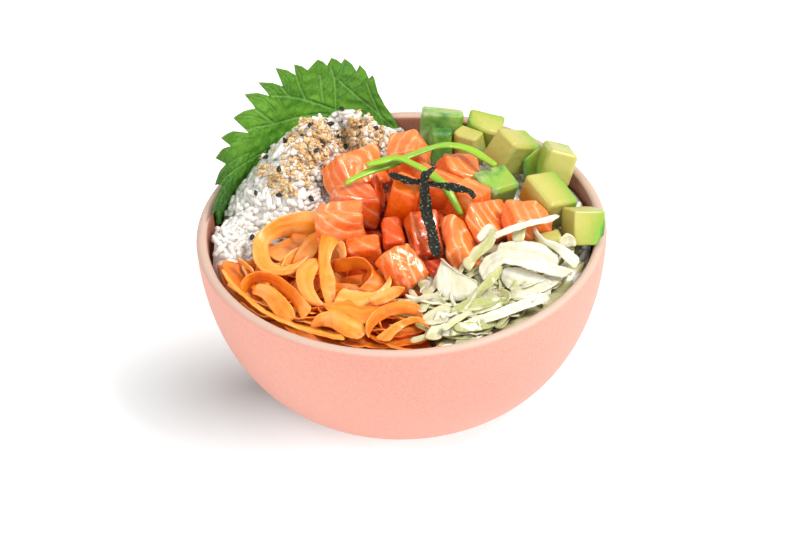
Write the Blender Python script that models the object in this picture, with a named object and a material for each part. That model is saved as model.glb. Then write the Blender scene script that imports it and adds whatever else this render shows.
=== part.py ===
"""Salmon poke bowl: a pink glazed bowl of sushi rice with diced salmon, avocado, carrot ribbons,
shredded cabbage, a shiso leaf, scallion and nori strips. +Z is up, the origin is the middle of the
bowl's flat base, and -Y is the side that the carrot and the cabbage lie on.

Every size and place below is in millimetres and degrees, and MM turns it into metres.
"""

import itertools
import math
import random

import bmesh
import bpy
import numpy as np
from mathutils import Euler, Matrix, Vector
from mathutils.bvhtree import BVHTree

MM = 0.001
GAP = 0.4

# Bowl
RIM_RADIUS = 90.0
BOWL_HEIGHT = 76.0
BASE_RADIUS = 42.0
WALL = 5.0
WALL_BOW = 1.95
WALL_SWEEP = 2.1
BOWL_STEPS = 48

# Rice: a bed, a mound at the back left, and a low shoulder between the mound and the carrot.
# Each hump is its rise, the radius and azimuth of its middle, and its half width and half angle.
BED_HEIGHT = 61.0
HUMPS = ((45.0, 50.5, 127.0, 40.0, 54.0), (13.0, 77.0, 178.0, 14.0, 20.0), (17.0, 64.0, 88.0, 24.0, 24.0))
RICE_SECTORS = 48
RICE_REACH = 9.0
HIGHEST_FILL = 70.0
RICE_RINGS = (0.0, 0.14, 0.28, 0.42, 0.56, 0.69, 0.81, 0.91, 1.0)
GRAIN_SIZE = (6.6, 3.1, 2.7)
GRAIN_COUNT = 66
SEED_SIZE = (3.2, 1.9, 1.1)
SEED_COUNT = 30

# Leaf: its upper margin from the stalk to the tip, as azimuths and heights. After the smooth edge by the
# stalk, the rows are by turns the point of a tooth and the notch behind it.
LEAF_THICKNESS = 0.7
LEAF_SMOOTH_EDGE = ((87.0, 66.0), (89.4, 71.0), (91.4, 77.6), (93.4, 82.5), (95.4, 90.0))
LEAF_TEETH = ((96.8, 99.8), (98.0, 98.2), (100.5, 105.5), (101.6, 102.4), (104.8, 109.2), (105.9, 107.0),
              (108.8, 110.8), (110.3, 107.3), (113.2, 112.1), (116.8, 108.4), (121.4, 114.5), (121.2, 108.7),
              (127.7, 116.2), (126.1, 105.9), (134.2, 112.8), (131.2, 104.2), (139.9, 110.9), (136.9, 101.7),
              (146.3, 104.1), (141.2, 92.2), (155.4, 102.4), (149.2, 92.0), (161.9, 98.2), (153.3, 86.6),
              (165.5, 87.4), (158.4, 80.5), (174.0, 79.0))
LEAF_LOWER_MARGIN = ((86.0, 64.5), (96.0, 60.0), (130.0, 57.0), (160.0, 62.0), (175.0, 74.0))
LEAF_ROWS = (0.0, 0.3, 0.6, 0.85, 1.0)
LEAF_BODY_DEPTH = 2.0
LEAF_ENDS = (87.0, 174.0)


def clear_scene():
    """Removes every object and mesh that the file starts with."""
    for obj in list(bpy.data.objects):
        bpy.data.objects.remove(obj, do_unlink=True)


def material(name, colour, roughness, coat=0.0):
    """A plain finish: base colour, roughness and, on wet or glazed pieces, a clear coat."""
    made = bpy.data.materials.new(name)
    made.use_nodes = True
    shader = made.node_tree.nodes["Principled BSDF"]
    shader.inputs["Base Color"].default_value = (*colour, 1.0)
    shader.inputs["Roughness"].default_value = roughness
    shader.inputs["Metallic"].default_value = 0.0
    shader.inputs["Coat Weight"].default_value = coat
    made.diffuse_color = (*colour, 1.0)
    return made


def add_mesh(name, points, faces, finish=None):
    """An object from points in millimetres and faces, with its normals pointing out."""
    mesh = bpy.data.meshes.new(name)
    mesh.from_pydata([tuple(p) for p in np.asarray(points, float) * MM], [], [tuple(f) for f in faces])
    shape = bmesh.new()
    shape.from_mesh(mesh)
    bmesh.ops.recalc_face_normals(shape, faces=shape.faces)
    shape.to_mesh(mesh)
    shape.free()
    obj = bpy.data.objects.new(name, mesh)
    bpy.context.scene.collection.objects.link(obj)
    if finish:
        mesh.materials.append(finish)
    return obj


def smooth(obj, angle=35.0):
    """Round pieces are shaded smooth, with edges kept where two faces meet at more than the angle."""
    obj.data.shade_smooth()
    obj.data.set_sharp_from_angle(angle=math.radians(angle))


def polar(radius, azimuth):
    """x and y of a point at a radius and an azimuth in degrees."""
    turn = np.radians(azimuth)
    return radius * np.cos(turn), radius * np.sin(turn)


def bump(value):
    """A rounded hump: 1 at 0, falling to 0 at -1 and 1 and staying 0 beyond."""
    return np.clip(1.0 - np.square(value), 0.0, 1.0) ** 1.25


# Bowl

def outer_radius(height):
    """The outer wall rises from the flat base as a quarter of a rounded oval."""
    rise = 1.0 - (1.0 - np.asarray(height) / BOWL_HEIGHT) ** WALL_BOW
    return BASE_RADIUS + (RIM_RADIUS - BASE_RADIUS) * rise ** (1.0 / WALL_SWEEP)


def inner_profile():
    """The outer wall moved in by its thickness along its own normal, as (radius, height) rows."""
    height = BOWL_HEIGHT * (1.0 - np.cos(np.linspace(0.02, 1.0, 90) * math.pi / 2))
    radius = outer_radius(height)
    along = np.stack([np.gradient(radius), np.gradient(height)], axis=1)
    along /= np.linalg.norm(along, axis=1)[:, None]
    inner = np.stack([radius - WALL * along[:, 1], height + WALL * along[:, 0]], axis=1)
    inner[:, 0] = np.minimum(inner[:, 0], RIM_RADIUS - WALL)
    return inner


INNER = inner_profile()
FLOOR_HEIGHT = float(INNER[0, 1])
FLOOR_RADIUS = float(INNER[0, 0])
INNER_RIM_RADIUS = RIM_RADIUS - WALL
RIM_TURN = BOWL_HEIGHT - WALL / 2
INNER_HEIGHTS = np.array([FLOOR_HEIGHT, FLOOR_HEIGHT + 1.6, 13.0, 21.0, 32.0, 46.0, 60.0, RIM_TURN])
INNER_RADII = np.interp(INNER_HEIGHTS, INNER[:, 1], INNER[:, 0])


def inner_radius(height):
    """Radius of the bowl's inside at a height, between the heights where its profile has corners."""
    return np.interp(height, INNER_HEIGHTS, INNER_RADII)


def make_bowl():
    """One turned wall: flat base, bowed side, rounded rim, and the inside down to its floor."""
    rises = BOWL_HEIGHT * np.array([0.012, 0.05, 0.12, 0.22, 0.36, 0.54, 0.76])
    profile = [(0.0, 0.0), (BASE_RADIUS, 0.0)]
    profile += [(float(outer_radius(z)), float(z)) for z in rises]
    half = WALL / 2
    for angle in (0, 50, 90, 130, 180):
        x, y = polar(half, angle)
        profile.append((RIM_RADIUS - half + float(x), RIM_TURN + float(y)))
    profile += [(float(r), float(z)) for r, z in zip(INNER_RADII[-2::-1], INNER_HEIGHTS[-2::-1])]
    profile.append((0.0, FLOOR_HEIGHT))
    shape = bmesh.new()
    corners = [shape.verts.new((r * MM, 0.0, z * MM)) for r, z in profile]
    edges = [shape.edges.new(pair) for pair in zip(corners, corners[1:])]
    bmesh.ops.spin(shape, geom=corners + edges, cent=(0, 0, 0), axis=(0, 0, 1), angle=math.tau,
                   steps=BOWL_STEPS, use_merge=True)
    bmesh.ops.remove_doubles(shape, verts=shape.verts, dist=1e-6)
    bmesh.ops.recalc_face_normals(shape, faces=shape.faces)
    mesh = bpy.data.meshes.new("bowl")
    shape.to_mesh(mesh)
    shape.free()
    bowl = bpy.data.objects.new("bowl", mesh)
    bpy.context.scene.collection.objects.link(bowl)
    mesh.materials.append(material("bowl_glaze", (0.86, 0.5, 0.42), 0.55))
    smooth(bowl)
    return bowl


# Diced salmon and avocado
# Each row is a piece's centre, its size, its turns about X, Y and Z, and how much its top narrows.
SALMON = (
    ((3, 37, 87), (21, 23, 18), (3, -16, -6), 0.28),
    ((-19, 29, 84), (26, 19, 15), (36, 15, 42), 0.08),
    ((5, 26, 79), (24, 22, 18), (-3, -9, -2), 0.1),
    ((17, 20, 83), (24, 17, 16), (-8, 22, -19), 0.15),
    ((26, 27, 82), (18, 19, 16), (14, 18, 14), 0.15),
    ((32, 5, 83), (29, 18, 17), (-10, 7, -39), 0.15),
    ((39, -7, 82), (25, 18, 18), (38, 26, 46), 0.0),
    ((54, -9, 81), (20, 18, 16), (8, 14, 18), 0.12),
    ((2, 4, 86), (16, 14, 27), (14, 14, -21), 0.2),
    ((-27, -6, 85), (20, 19, 15), (-8, 4, 4), 0.05),
    ((-19, 8, 83), (23, 20, 16), (0, 14, 18), 0.15),
    ((-16, -17, 77), (21, 18, 18), (10, -4, 5), 0.2),
    ((1, -35, 80), (19, 20, 12), (32, 3, 40), 0.12),
    ((27, -21, 81), (18, 25, 20), (10, -34, 0), 0.08),
    ((-3, -14, 76), (20, 22, 18), (12, -7, 2), 0.1),
    ((10, -15, 78), (17, 25, 18), (28, 12, 14), 0.09),
    ((-5, 14, 79), (18, 22, 20), (12, -10, -8), 0.09),
    ((19, 1, 78), (25, 21, 18), (12, 8, -3), 0.1),
    ((15, -26, 71), (24, 22, 16), (4, 4, 10), 0.0),
    ((-1, -1, 71), (28, 26, 16), (4, 0, 30), 0.0),
    ((34, -8, 71), (26, 24, 16), (0, 4, -20), 0.0),
    ((-16, 3, 71), (22, 22, 14), (0, 4, 20), 0.0),
)
AVOCADO = (
    ((20, 68, 79), (19, 14, 18), (-20, 8, -3), 0.0),
    ((20, 60, 77), (13, 13, 16), (-12, 4, 2), 0.12),
    ((32, 58, 77), (14, 13, 16), (-4, 0, -33), 0.08),
    ((39, 66, 79), (16, 12, 15), (16, 14, -8), 0.0),
    ((51, 46, 81), (19, 15, 17), (12, 28, 38), 0.05),
    ((61, 42, 76), (13, 13, 17), (14, -8, 14), 0.15),
    ((70, 34, 82), (14, 17, 16), (-20, 20, 0), 0.0),
    ((40, 19, 81), (20, 18, 16), (20, 9, 36), 0.1),
    ((64, 5, 83), (20, 23, 15), (14, 15, 34), 0.05),
    ((79, -12, 81), (14, 17, 15), (-28, 11, 13), 0.0),
    ((65, -18, 75), (15, 15, 15), (-6, -6, 8), 0.12),
)
CORNER_SIGNS = np.array([[x, y, z] for z in (-1, 1) for y in (-1, 1) for x in (-1, 1)], float)
BOX_SIDES = ((0, 2, 3), (4, 5, 7), (0, 1, 5), (2, 6, 7), (0, 4, 6), (1, 3, 7))
PIECE_GAP = 0.6
RESTS_ON = 4.0
SHORTEST_EDGE = 1.6
RIM_SLOPE_LINE = 9.6


class Block:
    """A diced piece: a box whose top is narrower than its foot, pressed flat where it meets others."""

    def __init__(self, name, row):
        centre, size, turns, narrowing = row
        self.name = name
        self.centre = np.array(centre, float)
        self.turn = np.array(Euler([math.radians(t) for t in turns]).to_matrix())
        scale = np.where(CORNER_SIGNS[:, 2:] > 0, 1.0 - narrowing, 1.0)
        spread = np.concatenate([scale, scale, np.ones_like(scale)], axis=1)
        self.points = self.centre + (CORNER_SIGNS * np.array(size, float) / 2 * spread) @ self.turn.T
        self.normals = np.zeros((0, 3))
        self.offsets = np.zeros(0)
        for side in BOX_SIDES:
            a, b, c = (self.points[i] for i in side)
            normal = np.cross(b - a, c - b)
            normal *= np.sign(normal @ (a - self.centre)) / np.linalg.norm(normal)
            self.normals = np.vstack([self.normals, normal])
            self.offsets = np.append(self.offsets, normal @ a)

    def cut(self, normal, offset):
        """Takes away what lies beyond a plane, and finds the corners that are left."""
        self.normals = np.vstack([self.normals, normal])
        self.offsets = np.append(self.offsets, offset)
        corners = []
        for trio in itertools.combinations(range(len(self.offsets)), 3):
            trio = list(trio)
            if abs(np.linalg.det(self.normals[trio])) < 1e-4:
                continue
            point = np.linalg.solve(self.normals[trio], self.offsets[trio])
            if (self.normals @ point <= self.offsets + 1e-6).all():
                corners.append(point)
        self.points = np.array(corners)

    def span(self, x, y, grow):
        """Lowest and highest point of the piece over each place, grown by a margin; nan where it isn't."""
        low = np.full(np.shape(x), -np.inf)
        high = np.full(np.shape(x), np.inf)
        for normal, offset in zip(self.normals, self.offsets):
            room = offset + grow - normal[0] * x - normal[1] * y
            if abs(normal[2]) < 1e-6:
                low = np.where(room < 0, np.inf, low)
            elif normal[2] > 0:
                high = np.minimum(high, room / normal[2])
            else:
                low = np.maximum(low, room / normal[2])
        missed = low > high
        return np.where(missed, np.nan, low), np.where(missed, np.nan, high)


def press_together(first, second):
    """Cuts two pieces that reach into each other along the plane that parts them soonest.

    The upper of two pieces that rest on each other keeps its form, and others share the cut.
    """
    axes = [*first.normals, *second.normals]
    axes += [np.cross(a, b) for a in first.turn.T for b in second.turn.T]
    least = None
    for axis in axes:
        length = np.linalg.norm(axis)
        if length < 1e-3:
            continue
        axis = axis / length
        if axis @ (first.centre - second.centre) < 0:
            axis = -axis
        lowest = (first.points @ axis).min()
        highest = (second.points @ axis).max()
        if highest + PIECE_GAP <= lowest:
            return
        if least is None or highest - lowest < least[0]:
            least = (highest - lowest, axis, lowest, highest)
    _, axis, lowest, highest = least
    lead = first.centre[2] - second.centre[2]
    share = 0.5 if abs(lead) < RESTS_ON else (0.1 if lead > 0 else 0.9)
    level = lowest + (highest - lowest) * share
    first.cut(-axis, -(level + PIECE_GAP / 2))
    second.cut(axis, level - PIECE_GAP / 2)


def fit_in_bowl(block):
    """Cuts a piece where it would reach into the bowl's wall, or into the rim that it leans over."""
    for _ in range(6):
        radius = np.hypot(block.points[:, 0], block.points[:, 1])
        height = block.points[:, 2]
        under_rim = radius - inner_radius(np.minimum(height, RIM_TURN)) + GAP
        over_rim = radius - height - RIM_SLOPE_LINE
        over = np.where(height < RIM_TURN, under_rim, np.minimum(over_rim, under_rim))
        worst = int(np.argmax(over))
        if over[worst] <= 0:
            return
        x, y, z = block.points[worst]
        out = np.array([x, y, 0.0]) / radius[worst]
        if height[worst] >= RIM_TURN or (radius.max() > INNER_RIM_RADIUS and z > 66.0):
            out = (out - (0, 0, 1)) / math.sqrt(2)
            level = RIM_SLOPE_LINE / math.sqrt(2) - 0.35
        else:
            steep = (inner_radius(z + 0.5) - inner_radius(z - 0.5))
            wall = out * inner_radius(z) + (0, 0, z)
            out = (out - (0, 0, steep)) / math.hypot(1.0, steep)
            level = out @ wall - GAP - 0.8
        block.cut(out, level)


def rounded_piece(block, finish):
    """The piece as an object: corners that lie close together are joined, and its edges rounded."""
    groups = []
    for point in block.points:
        near = [g for g in groups if np.linalg.norm(np.mean(g, axis=0) - point) < SHORTEST_EDGE]
        if near:
            near[0].append(point)
        else:
            groups.append([point])
    shape = bmesh.new()
    for group in groups:
        shape.verts.new(np.mean(group, axis=0) * MM)
    hull = bmesh.ops.convex_hull(shape, input=shape.verts)
    spare = [item for item in hull["geom_interior"] if isinstance(item, bmesh.types.BMVert)]
    bmesh.ops.delete(shape, geom=spare, context="VERTS")
    bmesh.ops.dissolve_limit(shape, angle_limit=math.radians(6), verts=shape.verts, edges=shape.edges)
    bmesh.ops.recalc_face_normals(shape, faces=shape.faces)
    mesh = bpy.data.meshes.new(block.name)
    shape.to_mesh(mesh)
    shape.free()
    obj = bpy.data.objects.new(block.name, mesh)
    bpy.context.scene.collection.objects.link(obj)
    mesh.materials.append(finish)
    bevel = obj.modifiers.new("rounded_edges", "BEVEL")
    bevel.width = 1.5 * MM
    bevel.segments = 1
    bevel.angle_limit = math.radians(15)
    smooth(obj, 60.0)


def make_blocks():
    """The diced pieces where they came to rest."""
    blocks = [Block(f"salmon_{i:02d}", row) for i, row in enumerate(SALMON, 1)]
    blocks += [Block(f"avocado_{i:02d}", row) for i, row in enumerate(AVOCADO, 1)]
    for block in blocks:
        fit_in_bowl(block)
    for first, second in itertools.combinations(blocks, 2):
        if np.linalg.norm(first.centre - second.centre) < 36.0:
            press_together(first, second)
    finishes = {
        "salmon": material("salmon_flesh", (0.9, 0.24, 0.07), 0.3, 0.5),
        "avocado": material("avocado_flesh", (0.68, 0.67, 0.2), 0.45),
    }
    for block in blocks:
        rounded_piece(block, finishes[block.name[:-3]])
    return blocks


def undersides(blocks, x, y, margin):
    """Height of the lowest piece over each place, or infinity where there is none."""
    lowest = np.full(np.shape(x), np.inf)
    for block in blocks:
        low, _ = block.span(x, y, margin)
        lowest = np.fmin(lowest, low)
    return lowest


def undersides_near(blocks, x, y, reach):
    """Height of the lowest piece within a reach of each place."""
    lowest = undersides(blocks, x, y, GAP)
    for turn in range(0, 360, 30):
        for share in (0.4, 0.7, 1.0):
            dx, dy = polar(reach * share, turn)
            lowest = np.minimum(lowest, undersides(blocks, x + dx, y + dy, GAP))
    return lowest


def tops(blocks, x, y, margin):
    """Height of the highest piece over each place, or minus infinity where there is none."""
    highest = np.full(np.shape(x), -np.inf)
    for block in blocks:
        _, high = block.span(x, y, margin)
        highest = np.fmax(highest, high)
    return highest


# Rice

def leaf_share(azimuth):
    """1 where the shiso leaf stands between the rice and the wall, and 0 away from it."""
    middle = sum(LEAF_ENDS) / 2
    half = (LEAF_ENDS[1] - LEAF_ENDS[0]) / 2 + 14.0
    return np.clip((1.0 - np.abs((azimuth - middle) / half)) * 8.0, 0.0, 1.0)


def rice_surface(radius, azimuth):
    """Height of the rice: the bed, the highest of the humps, and small unevenness on them."""
    rise = 0.0
    for top, middle, turn, half_width, half_angle in HUMPS:
        away = np.mod(azimuth - turn + 180.0, 360.0) - 180.0
        rise = np.maximum(rise, top * bump((radius - middle) / half_width) * bump(away / half_angle))
    x, y = polar(radius, azimuth)
    ripple = np.sin(x / 7.0 + 1.3) * np.cos(y / 6.0) + 0.6 * np.sin((x + y) / 4.5)
    return BED_HEIGHT + rise + ripple * np.clip(rise / 12.0, 0.0, 1.0)


class RiceBed:
    """The grid of the rice's top: rings from the middle out to the wall, and sectors round it."""

    def __init__(self, blocks):
        self.azimuth = np.arange(RICE_SECTORS) * 360.0 / RICE_SECTORS
        share = np.array(RICE_RINGS)[:, None]
        self.wall_gap = GAP + 0.3 + 2.2 * leaf_share(self.azimuth)
        level = rice_surface(80.0, self.azimuth)
        edge = inner_radius(np.minimum(level, RIM_TURN)) - self.wall_gap
        radius = share * edge[None, :]
        azimuth = np.broadcast_to(self.azimuth[None, :], radius.shape)
        self.x, self.y = polar(radius, azimuth)
        height = rice_surface(radius, azimuth)
        resting = undersides_near(blocks, self.x, self.y, RICE_REACH) - 2 * GAP
        height = np.where(np.isfinite(resting), np.minimum(resting, np.maximum(height, HIGHEST_FILL)), height)
        height[0, :] = height[0, :].min()
        self.height = np.maximum(height, BED_HEIGHT - 14.0)
        self.height[-1, :] = np.minimum(self.height[-1, :], RIM_TURN)

    def solid(self):
        """Points and faces of the bare heap, from its top down the bowl's inside to its floor."""
        rings = [np.stack([self.x[i], self.y[i], self.height[i]], axis=1) for i in range(1, len(RICE_RINGS))]
        for z in INNER_HEIGHTS[-3::-1]:
            x, y = polar(inner_radius(z) - self.wall_gap - 0.3, self.azimuth)
            rings.append(np.stack([x, y, np.full(len(x), z + (GAP if z == FLOOR_HEIGHT else 0.0))], axis=1))
        points = [np.array([[0.0, 0.0, self.height[0, 0]]]), *rings]
        points.append(np.array([[0.0, 0.0, FLOOR_HEIGHT + GAP]]))
        count = RICE_SECTORS
        around = [(j, (j + 1) % count) for j in range(count)]
        faces = [(0, 1 + j, 1 + k) for j, k in around]
        for i in range(len(rings) - 1):
            low, high = 1 + i * count, 1 + (i + 1) * count
            for j, k in around:
                faces += [(low + j, high + j, high + k), (low + j, high + k, low + k)]
        last, foot = 1 + (len(rings) - 1) * count, 1 + len(rings) * count
        faces += [(foot, last + k, last + j) for j, k in around]
        return np.concatenate(points), faces

    def patch(self, core, blocks):
        """A layer over part of the bed, on the same grid, so that it keeps one gap to the rice all over."""
        first, last = core["sectors"]
        lines = np.unique([first, *range(math.ceil(first), math.floor(last) + 1), last])
        sectors = np.floor(lines).astype(int)
        share = lines - sectors
        rings = np.arange(len(RICE_RINGS) - len(core["ring_rise"]), len(RICE_RINGS))
        pick = np.ix_(rings, sectors % RICE_SECTORS)
        following = np.ix_(rings, (sectors + 1) % RICE_SECTORS)
        x, y, foot = (a[pick] * (1 - share) + a[following] * share for a in (self.x, self.y, self.height))
        foot = foot + GAP + 3.0 * (share > 0)
        sector_rise = np.interp(np.linspace(0, 1, len(sectors)), (0.0, 0.2, 0.8, 1.0), core["end_rise"])
        rise = np.array(core["ring_rise"])[:, None] * sector_rise[None, :]
        top = BED_HEIGHT + (core["level"] - BED_HEIGHT) * rise
        top = top + 1.2 * np.sin(x / 5.0) * np.cos(y / 4.0 + 0.7) * rise
        for dip_x, dip_y, depth, width in core["dips"]:
            top = top - depth * bump(np.hypot(x - dip_x, y - dip_y) / width)
        top = np.minimum(top, undersides_near(blocks, x, y, RICE_REACH) - 2 * GAP)
        top = np.maximum(top, foot + 0.6)
        top_points = np.stack([x, y, top], axis=-1).reshape(-1, 3)
        foot_points = np.stack([x, y, foot], axis=-1).reshape(-1, 3)
        return sheet_solid(top_points, foot_points, len(rings), len(sectors))


def sheet_solid(top, foot, rows, columns):
    """Closes two like grids into one thin solid, with both split into triangles alike."""
    count = rows * columns
    faces = []
    for i in range(rows - 1):
        for j in range(columns - 1):
            a, b = i * columns + j, i * columns + j + 1
            c, d = a + columns, b + columns
            faces += [(a, c, d), (a, d, b)]
            faces += [(count + a, count + d, count + c), (count + a, count + b, count + d)]
    border = [j for j in range(columns)]
    border += [i * columns + columns - 1 for i in range(1, rows)]
    border += [(rows - 1) * columns + j for j in range(columns - 2, -1, -1)]
    border += [i * columns for i in range(rows - 2, 0, -1)]
    for a, b in zip(border, border[1:] + border[:1]):
        faces += [(a, b, count + b), (a, count + b, count + a)]
    return np.concatenate([top, foot]), faces


# Joining small pieces to a core

def keep_largest(mesh):
    """Drops loose scraps and the skins of sealed hollows, which leaves one closed body."""
    shape = bmesh.new()
    shape.from_mesh(mesh)
    bmesh.ops.triangulate(shape, faces=shape.faces)
    left, islands = set(shape.faces), []
    while left:
        island, front = [], [left.pop()]
        while front:
            face = front.pop()
            island.append(face)
            for edge in face.edges:
                if len(edge.link_faces) == 2:
                    for other in edge.link_faces:
                        if other in left:
                            left.remove(other)
                            front.append(other)
        islands.append(island)
    islands.sort(key=len)
    for island in islands[:-1]:
        bmesh.ops.delete(shape, geom=island, context="FACES")
    shape.to_mesh(mesh)
    shape.free()


def fuse(core, pieces):
    """Joins the pieces to the core by one union, and removes them."""
    group = bpy.data.collections.new(core.name + "_pieces")
    bpy.context.scene.collection.children.link(group)
    for piece in pieces:
        bpy.context.scene.collection.objects.unlink(piece)
        group.objects.link(piece)
    union = core.modifiers.new("union", "BOOLEAN")
    union.operation = "UNION"
    union.operand_type = "COLLECTION"
    union.collection = group
    union.solver = "MANIFOLD"
    bpy.context.view_layer.update()
    joined = bpy.data.meshes.new_from_object(core.evaluated_get(bpy.context.evaluated_depsgraph_get()))
    core.modifiers.clear()
    core.data = joined
    keep_largest(core.data)
    for piece in pieces:
        bpy.data.objects.remove(piece, do_unlink=True)
    bpy.data.collections.remove(group)


class Neighbours:
    """The solids that a new piece has to stay clear of."""

    def __init__(self, objects):
        bpy.context.view_layer.update()
        graph = bpy.context.evaluated_depsgraph_get()
        self.trees = []
        for obj in objects:
            shape = bmesh.new()
            shape.from_object(obj, graph)
            self.trees.append(BVHTree.FromBMesh(shape))
            shape.free()

    def clear(self, points, faces):
        """True if a closed form, in millimetres, neither meets a neighbour nor lies within one."""
        form = BVHTree.FromPolygons([tuple(p) for p in np.asarray(points) * MM], faces)
        place = Vector(np.mean(points, axis=0)) * MM
        return not any(tree.overlap(form) or self.inside(tree, place) for tree in self.trees)

    @staticmethod
    def inside(tree, place):
        """A place is inside a closed solid if a line from it leaves through an odd number of faces."""
        way = Vector((0.31, 0.17, 1.0)).normalized()
        count, start = 0, place
        while True:
            hit = tree.ray_cast(start, way)[0]
            if hit is None:
                return count % 2 == 1
            count += 1
            start = hit + way * 1e-6


# Cores that the ribbons and the shreds lie on: the sectors of the bed that they cover, their height, their
# rise by ring and towards their ends, and the dips in their tops, each as x, y, depth and width.
CARROT_CORE = {"sectors": (25, 36.9), "level": 76.0, "ring_rise": (0.2, 0.75, 1.0, 1.0, 1.0, 0.9),
               "end_rise": (0.3, 1.0, 1.0, 0.9),
               "dips": ((-50, -8, 9, 15), (-19, -38, 6, 10), (-56, -46, 6, 11))}
CABBAGE_CORE = {"sectors": (37.5, 46), "level": 78.0, "ring_rise": (0.2, 0.7, 0.95, 1.0, 0.95, 0.75),
                "end_rise": (0.9, 1.0, 1.0, 0.3), "dips": ((60, -50, 4, 9),)}


# Strips: ribbons, shreds, scallion and nori
# Each strip lies between two edge lines. The tables give the points that each edge runs through.
RIBBONS = (
    (((-36, 3, 71), (-46, 3, 71), (-54, -3, 72), (-60, -12, 73)),
     ((-36, -11, 70), (-45, -13, 71), (-50, -15, 72), (-54, -18, 73))),
    (((-34, 8, 80), (-43, 7.5, 81), (-51.5, 3.5, 82), (-58, -2, 82), (-63.5, -7.5, 80), (-65, -14, 78),
      (-64, -23, 77), (-59, -30, 76), (-51, -30.5, 75), (-42.5, -27, 75)),
     ((-34.5, 5.5, 70), (-43.5, 3, 70), (-49.5, 3.5, 70), (-54, -1, 73), (-57.5, -8.5, 76), (-58, -14,
      76), (-56.5, -21, 76), (-52, -27, 77), (-44.5, -25, 78), (-35.5, -17, 79))),
    (((-48.5, -19, 72), (-44.5, -13.5, 77), (-40, -9, 80), (-34.5, -6.5, 81)),
     ((-45.5, -18, 71), (-41.5, -18.5, 74), (-38, -16.5, 76), (-34.5, -12, 77))),
    (((-34.5, -15, 85), (-36, -25, 84), (-36, -34, 81), (-35.5, -44, 78), (-33.5, -51, 74)),
     ((-26.5, -20.5, 85), (-29.5, -25.5, 84), (-31, -31.5, 81), (-29, -39, 78), (-29.5, -50.5, 74))),
    (((-26.5, -21, 86), (-24.5, -25.5, 86), (-24, -31, 84)),
     ((-29.5, -21.5, 82), (-27.5, -23.5, 81), (-26.5, -28, 80))),
    (((-36.5, -26.5, 81), (-43, -28.5, 80), (-46, -35, 79), (-45.5, -42, 77), (-43, -48, 75), (-39.5, -50.5,
      73)),
     ((-35.5, -32.5, 81), (-37, -35.5, 80), (-38.5, -40.5, 79), (-38, -44.5, 77), (-35.5, -49.5, 75),
      (-33.5, -51, 73))),
    (((-30, -27, 80), (-24.5, -29, 82), (-18, -30.5, 83), (-13.5, -35.5, 82), (-14.5, -41, 80), (-20, -46,
      77)),
     ((-29.5, -28.5, 74), (-24.5, -29.5, 75), (-17.5, -28.5, 75), (-8.5, -35.5, 75), (-7.5, -40.5, 75),
      (-12.5, -45.5, 74))),
    (((-70.5, -39, 77), (-67.5, -37, 80), (-62, -36, 82), (-55, -39, 82), (-48.5, -44.5, 81), (-43.5, -51,
      79), (-39, -56, 76)),
     ((-69, -40.5, 72), (-66.5, -35.5, 73), (-62.5, -33, 74), (-57.5, -34, 74), (-52, -41.5, 74), (-47,
      -51.5, 74), (-43.5, -60, 73))),
    (((-63, -42, 80), (-58, -43, 80), (-53, -47.5, 79), (-48, -54.5, 77), (-46, -60, 74)),
     ((-65.5, -43.5, 76), (-60.5, -47.5, 76), (-57.5, -52.5, 75), (-54.5, -58, 74), (-51, -61.5, 74))),
    (((-78.5, -29, 79), (-75, -38, 78), (-68.5, -48, 77.5), (-60.5, -58.5, 77), (-50.5, -67.5, 77), (-40,
      -74.5, 77), (-25.5, -80, 77)),
     ((-76.5, -30, 78), (-72, -38, 77), (-65.5, -48.5, 77), (-58, -57.5, 76.5), (-49, -64, 76), (-39.5,
      -68.5, 75), (-26.5, -74.5, 75))),
    (((-72, -20, 78), (-68, -24, 78), (-64.5, -29.5, 78)),
     ((-70.5, -20.5, 75), (-67, -25, 75), (-64, -29.5, 75))),
    (((-40.5, -65, 74), (-37, -63, 78), (-31, -63, 80), (-25, -65, 79), (-18.5, -68, 77), (-16, -72.5, 75)),
     ((-40, -66, 73), (-35, -66, 74), (-31, -69, 75), (-27, -73.5, 75), (-23.5, -75.5, 74.5), (-19.5, -76,
      74))),
    (((-16.5, -74.5, 75), (-16.5, -71, 79), (-12.5, -65.5, 81), (-6, -62, 82), (1, -61, 82), (6, -61.5, 80),
      (8, -65.5, 77)),
     ((-15.5, -76, 74), (-14.5, -72, 75), (-11.5, -68, 76), (-6.5, -65, 77), (-0.5, -63.5, 77), (4, -63.5,
      76), (7, -65.5, 75))),
    (((-13.5, -76.5, 74.5), (-9, -74.5, 77), (-4, -72, 79), (1.5, -70, 80), (6.5, -69, 79), (11, -71, 76)),
     ((-7.5, -79.5, 74.5), (-4, -76, 76), (-0.5, -73, 77), (3, -70.5, 77), (6.5, -70, 76.5), (10.5, -73,
      75))),
    (((-26.5, -47.5, 80), (-20.5, -48.5, 79), (-12.5, -50, 79), (-7.5, -45, 80), (-5, -39.5, 81)),
     ((-31, -54.5, 76), (-24, -56.5, 76), (-16, -56.5, 77), (-8, -49.5, 78), (-5, -46, 79))),
    (((-16, -57, 81), (-10, -54, 82), (-4, -52, 83), (0.5, -53, 83)),
     ((-12.5, -57.5, 77), (-7, -56.5, 78), (-2.5, -54, 79), (0.5, -52, 81))),
    (((-35, -54, 77), (-25, -52.5, 77), (-16.5, -53, 77), (-7, -53, 77)),
     ((-32.5, -58.5, 76), (-24, -62, 76), (-17, -68, 76), (-10.5, -60, 75))),
)
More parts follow.
